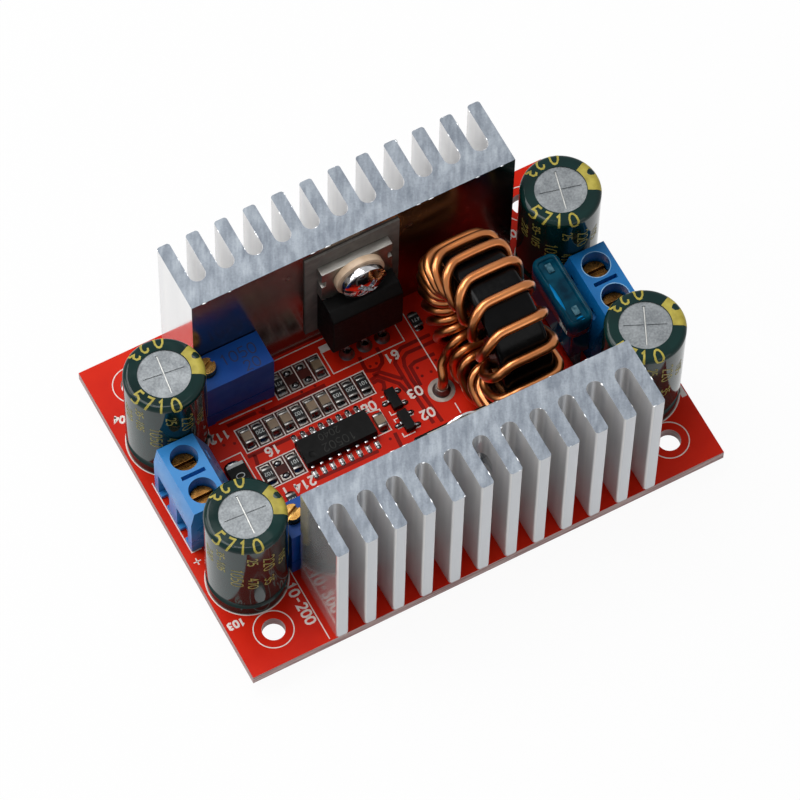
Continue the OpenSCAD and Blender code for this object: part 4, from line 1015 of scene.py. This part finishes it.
def make_pads():
    """Tinned copper left bare round the soldered ends and wires."""
    shapes = Shapes()
    for row in row_places():
        for x, y in row:
            for side in (-1, 1):
                shapes.oblong(x, y + side * CHIP_PAD_OFF, *CHIP_PAD, *PAD_Z)
    for lo, hi in solids("controller_ic_leads") + solids("transistor_leads"):
        mid = (lo + hi) / 2
        out, _ = outer_end(lo, hi, "controller_ic_body", 1)
        shapes.oblong(mid.x, mid.y + out * LEAD_PAD_OUT, hi.x - lo.x + LEAD_PAD_MORE, hi.y - lo.y, *PAD_Z)
    lo, hi = box("inductor_core")
    for x in (lo.x - PAD_REACH, hi.x + PAD_REACH):
        shapes.ring(x, (lo.y + hi.y) / 2, (WIRE_PAD_R + WIRE_R) / 2, WIRE_PAD_R - WIRE_R, *PAD_Z)
    shapes.piece("board_pads", "bare_pad", "chip_terminations")


def make_solder():
    """Solder on the ends of the small parts and on the places that are left empty."""
    shapes = Shapes()
    taken = [((lo + hi) / 2, hi.z) for lo, hi in chip_boxes()]
    for mid, top in taken:
        for side in (-1, 1):
            shapes.fillet(mid.x, mid.y + side * CHIP_END_OFF, CHIP_END_W, CHIP_END_REACH,
                          top * CHIP_END_CLIMB, side)
    for row in row_places():
        for x, y in row:
            if all((mid.xy - Vector((x, y))).length > EMPTY_R for mid, _ in taken):
                for side in (-1, 1):
                    shapes.dome(x + side * EMPTY_OFF[0], y + side * EMPTY_OFF[1], *EMPTY_BLOB)
    for leads, part, axis, past, blob in LEAD_BLOBS:
        for lo, hi in solids(leads):
            out, tip = outer_end(lo, hi, part, axis)
            spot = (lo + hi) / 2
            spot[axis] = tip + out * past
            shapes.dome(spot.x, spot.y, *blob)
    shapes.piece("chip_solder", "solder", "solder_joints")


# Marks on the parts

SLEEVE_SHOULDER = 0.7
CAP_TOP_D = 6.7
# Turn of the bright line on each capacitor's top, a painted highlight in one scored groove
SCORE_TURNS = (86, 83, 65, 76)
SCORE_L = 5.4
SCORE_W = 0.11
SCORE_Z = (-0.14, -0.05)
MARK_Z = (-0.01, 0.02)
# Angles of the stripe that marks a capacitor's negative side, seen from above
STRIPE_FROM, STRIPE_TO = -28, 26
STRIPE_END = 13.2
# Digits round a capacitor's rim: angle and digit
RIM_DIGITS = [(118, "3"), (98, "2"), (72, "0"), (196, "5"), (217, "7"), (238, "1"), (262, "0")]
RIM_DOWN = 1.3
RIM_DIGIT_H = 1.9
RIM_DIGIT_W = 0.3
# Columns of digits down a capacitor's side: angle, text, start below the rim and height
SIDE_COLUMNS = [(184, "220", 5.0, 1.3), (206, "35-105", 3.2, 1.1), (230, "1050", 6.5, 1.5),
                (252, "25", 3.6, 1.2), (252, "470", 9.0, 1.2), (276, "220", 4.4, 1.5),
                (276, "35", 10.0, 1.3), (300, "105", 6.0, 1.2)]
SIDE_DIGIT_W = 0.18
# Rows of points down the stripe: near the bare top, over the shoulder and at the stripe's end
STRIPE_ROWS = [0.08] + [0.3 * k for k in range(1, 9)] + [STRIPE_END]
STRIPE_COLUMNS = 10
# Dot on the stripe: its angle, then its reach both ways, foot and height
DOT_ANGLE = 6
DOT = (0.62, 0.62, -0.01, 0.06)
# Dashes on the stripe: places down it, width and length, and heights
DASHES = (4.5, 7.5, 10.5)
DASH = (0.6, 1.6)
DASH_Z = (0.0, 0.04)


def sleeve_place(capacitor):
    """Turns a place on the unrolled sleeve (round clockwise, down from the bare top, lift) into a point."""
    lo, hi = box(capacitor + "_sleeve")
    mid = (lo + hi) / 2
    r = (hi.x - lo.x) / 2
    flat = r - SLEEVE_SHOULDER - CAP_TOP_D / 2
    arc = SLEEVE_SHOULDER * math.pi / 2

    def place(u, v, lift):
        if v < flat:
            radius, z, tilt = CAP_TOP_D / 2 + v, hi.z, 0.0
        elif v < flat + arc:
            tilt = (v - flat) / SLEEVE_SHOULDER
            radius = r - SLEEVE_SHOULDER + SLEEVE_SHOULDER * math.sin(tilt)
            z = hi.z - SLEEVE_SHOULDER + SLEEVE_SHOULDER * math.cos(tilt)
        else:
            radius, z, tilt = r, hi.z - SLEEVE_SHOULDER - (v - flat - arc), math.pi / 2
        radius += lift * math.sin(tilt)
        z += lift * math.cos(tilt)
        a = -u / r
        return at(mid.x + radius * math.cos(a), mid.y + radius * math.sin(a), z)

    return place, r


def make_sleeve_marks(capacitor):
    """The stripe and digits printed on a capacitor's sleeve."""
    place, r = sleeve_place(capacitor)
    marks = Shapes(place)
    lines = Shapes(place)

    def round_to(angle):
        return -math.radians(angle) * r

    rings = []
    for k in range(STRIPE_COLUMNS + 1):
        u = round_to(STRIPE_FROM + (STRIPE_TO - STRIPE_FROM) * k / STRIPE_COLUMNS)
        rings.append([(u, v, MARK_Z[1]) for v in STRIPE_ROWS]
                     + [(u, v, MARK_Z[0]) for v in reversed(STRIPE_ROWS)])
    marks.loft(rings)
    for angle, digit in RIM_DIGITS:
        marks.number(digit, round_to(angle), RIM_DOWN, RIM_DIGIT_H, 180, RIM_DIGIT_W, *MARK_Z)
    for angle, text, start, height in SIDE_COLUMNS:
        length = len(text) * DIGIT_STEP * height
        lines.number(text, round_to(angle), start + length / 2, height, 90, SIDE_DIGIT_W, *MARK_Z)
    marks.piece(capacitor + "_print", "gold", capacitor + "_sleeve")
    lines.piece(capacitor + "_side_print", "shaded_side_gold", capacitor + "_sleeve")
    dots = Shapes(place)
    dots.dome(round_to(DOT_ANGLE), RIM_DOWN, *DOT, sides=24, steps=6)
    for down in DASHES:
        dots.oblong(round_to(0), down, *DASH, *DASH_Z)
    dots.piece(capacitor + "_dots", "sleeve", capacitor + "_sleeve")


def make_scores_painted_highlight():
    """A painted highlight: the bright bottom of one scored line on each capacitor's top."""
    shapes = Shapes()
    for capacitor, turn in zip(CAPACITORS, SCORE_TURNS):
        lo, hi = box(capacitor + "_can")
        mid = (lo + hi) / 2
        half = Vector((math.cos(math.radians(turn)), math.sin(math.radians(turn)))) * SCORE_L / 2
        shapes.line([mid.xy - half, mid.xy + half], SCORE_W, *above(hi.z, SCORE_Z))
    shapes.piece("capacitor_scores_painted_highlight", "scored_line_highlight", "input_rear_capacitor_can")


NICKS_PER_SINK = 44
NICK_SEED = 11
NICK_EDGE_DEG = 60
NICK_SIZE = (0.04, 0.1)
NICK_STRETCH = (1.5, 4.5)
NICK_SINK = 0.05
NICK_H = (0.055, 0.07)
RIM_Z = 0.01


def make_nicks_and_highlights():
    """Small dents along the sawn edges of the heatsinks: real wear, painted bright as highlights."""
    dice = random.Random(NICK_SEED)
    shapes = Shapes()
    for node in ("rear_heatsink", "front_heatsink"):
        top = box(node)[1].z
        bm = welded(node)
        sharp = [e for e in bm.edges if e.calc_face_angle(0) > math.radians(NICK_EDGE_DEG)]
        ends = [[on_board(v.co) for v in e.verts] for e in sharp]
        bm.free()
        rim = [(a, b) for a, b in ends if min(a.z, b.z) > top - RIM_Z]
        lengths = [(b - a).length for a, b in rim]
        for a, b in dice.choices(rim, lengths, k=NICKS_PER_SINK):
            spot = a.lerp(b, dice.random())
            along = abs((b - a).normalized().x)
            size = dice.uniform(*NICK_SIZE)
            reach = size * dice.uniform(*NICK_STRETCH)
            rx, ry = size + reach * along, size + reach * (1 - along)
            edge = cad_hi.y / MM - ry
            y = max(-edge, min(edge, spot.y))
            height = dice.uniform(*NICK_H)
            shapes.dome(spot.x, y, rx, ry, top - NICK_SINK, height, sides=8, steps=3)
    shapes.piece("heatsink_nicks_and_highlights", "nicked_edge_highlight", "rear_heatsink")


# Resistance codes printed on the chips, used in turn
CHIP_CODES = ["102", "103", "220", "101", "471"]
CODE_H = 0.46
CODE_W = 0.1
PRINT_Z = (-0.01, 0.01)
# The diode's band, from its end and from its sides, and the oval in its middle: reach and sides
BAND_OFF = 0.45
BAND_SIDE = 0.15
BAND_W = 0.45
OVAL = (0.55, 0.35, 32)
OVAL_W = 0.1
# Numbers on the trimmers and the controller: piece, paint, nodes, turn, width and heights of the strokes,
# then the lines, each with its text, its place from the middle and its height
PART_NUMBERS = [
    ("trimmer_numbers", "trimmer_mark", ["voltage_trimmer_housing", "current_trimmer_housing"],
     0, 0.18, (-0.02, 0.006), [("1050", 1.2, 0.55, 1.5), ("20", 2.2, -1.4, 1.4)]),
    ("controller_ic_print", "faint_ink", ["controller_ic_body"],
     180, 0.12, (-0.01, 0.008), [("10502", 0.0, -0.8, 1.1), ("2040", -0.6, 0.8, 0.9)]),
]
# The painted highlight on the rim of a well: radius and width
WELL_RIM_HIGHLIGHT = (1.87, 0.1)


def above(top, heights):
    return [top + h for h in heights]


def make_part_marks():
    """Numbers on the small parts, the diode's band and oval, and painted highlights on the rims of the
    input wells.
    """
    shapes = Shapes()
    for k, (lo, hi) in enumerate(solids("chip_resistors")):
        mid = (lo + hi) / 2
        code = CHIP_CODES[k % len(CHIP_CODES)]
        shapes.number(code, mid.x, mid.y, CODE_H, 180, CODE_W, *above(hi.z, PRINT_Z))
    lo, hi = box("diode_body")
    mid = (lo + hi) / 2
    levels = above(hi.z, PRINT_Z)
    shapes.oblong(mid.x, hi.y - BAND_OFF, hi.x - lo.x - 2 * BAND_SIDE, BAND_W, *levels)
    shapes.line(ellipse(mid.x, mid.y, *OVAL), OVAL_W, *levels, closed=True)
    shapes.piece("part_print", "chip_ink", "chip_resistors")
    edges = Shapes()
    top = box("input_terminal_housing")[1].z
    for pole in "ab":
        well = middle("input_terminal_screw_" + pole)
        edges.ring(well.x, well.y, *WELL_RIM_HIGHLIGHT, *above(top, PRINT_Z))
    edges.piece("input_terminal_well_highlights", "well_rim_highlight", "input_terminal_housing")
    for name, paint, nodes, turn, width, heights, lines in PART_NUMBERS:
        numbers = Shapes()
        for node in nodes:
            mid, levels = middle(node), above(box(node)[1].z, heights)
            for text, x, y, height in lines:
                numbers.number(text, mid.x + x, mid.y + y, height, turn, width, *levels)
        numbers.piece(name, paint, nodes[0])


make_gaps()
make_print()
make_pads()
make_solder()
for capacitor in CAPACITORS:
    make_sleeve_marks(capacitor)
make_scores_painted_highlight()
make_nicks_and_highlights()
make_part_marks()


# Floor, light and background

FLOOR_HALF = 1.5
FLOOR_COLOUR = (0.86, 0.86, 0.86, 1)
FLOOR_LIT = 0.95
SKY_FILL = 0.3
SKY_SEEN = 1.0
SKY_GLOSS = 0.7
# Soft lamps, all turned to the board's middle: name, place and size in millimetres, watts
LAMPS = [
    ("softbox_above", (-140, 200, 560), 400, 2.6),
    ("softbox_left", (-460, 300, 300), 300, 0.9),
    ("softbox_front", (160, -560, 300), 360, 0.4),
]


def floor_material():
    """A floor that the camera sees as near white, and that still takes the object's shadow."""
    material = bpy.data.materials.new("floor_white")
    material.use_nodes = True
    material.node_tree.nodes.clear()
    floor = Nodes(material.node_tree)
    rays = floor.add("ShaderNodeLightPath").outputs
    seen = floor.math("MAXIMUM", rays["Is Camera Ray"], rays["Is Glossy Ray"])
    seen = floor.math("MAXIMUM", seen, rays["Is Transmission Ray"])
    mix = floor.add("ShaderNodeMixShader", Fac=floor.math("MULTIPLY", seen, FLOOR_LIT))
    floor.fill(mix.inputs[1], floor.add("ShaderNodeBsdfDiffuse", Color=FLOOR_COLOUR).outputs["BSDF"])
    floor.fill(mix.inputs[2], floor.add("ShaderNodeEmission", Strength=1.0).outputs["Emission"])
    floor.add("ShaderNodeOutputMaterial", Surface=mix.outputs["Shader"])
    return material


def make_sky():
    """White to the camera, a little less bright in reflections, and a soft fill elsewhere."""
    scene.world = bpy.data.worlds.new("studio")
    scene.world.use_nodes = True
    sky = Nodes(scene.world.node_tree)
    rays = sky.add("ShaderNodeLightPath").outputs
    level = sky.blend(rays["Is Glossy Ray"], SKY_FILL, SKY_GLOSS)
    level = sky.blend(rays["Is Transmission Ray"], level, SKY_GLOSS)
    level = sky.blend(rays["Is Camera Ray"], level, SKY_SEEN)
    sky.fill_all(sky.tree.nodes["Background"], {"Color": (1, 1, 1, 1), "Strength": level})


def make_lamp(name, spot_mm, size_mm, watts):
    data = bpy.data.lights.new(name, "AREA")
    data.shape = "SQUARE"
    data.size = size_mm * MM
    data.energy = watts
    light = bpy.data.objects.new(name, data)
    scene.collection.objects.link(light)
    light.location = Vector(spot_mm) * MM
    light.rotation_mode = "QUATERNION"
    light.rotation_quaternion = (at(0, 0) - light.location).to_track_quat("-Z", "Y")


def make_stage():
    """The floor, the sky and the lamps."""
    mesh = bpy.data.meshes.new("floor")
    corners = [(x * FLOOR_HALF, y * FLOOR_HALF, 0) for x, y in ((-1, -1), (1, -1), (1, 1), (-1, 1))]
    mesh.from_pydata(corners, [], [(0, 1, 2, 3)])
    mesh.materials.append(floor_material())
    floor = bpy.data.objects.new("floor", mesh)
    scene.collection.objects.link(floor)
    make_sky()
    for lamp in LAMPS:
        make_lamp(*lamp)
    scene.view_settings.view_transform = "Standard"


make_stage()

bpy.context.view_layer.update()
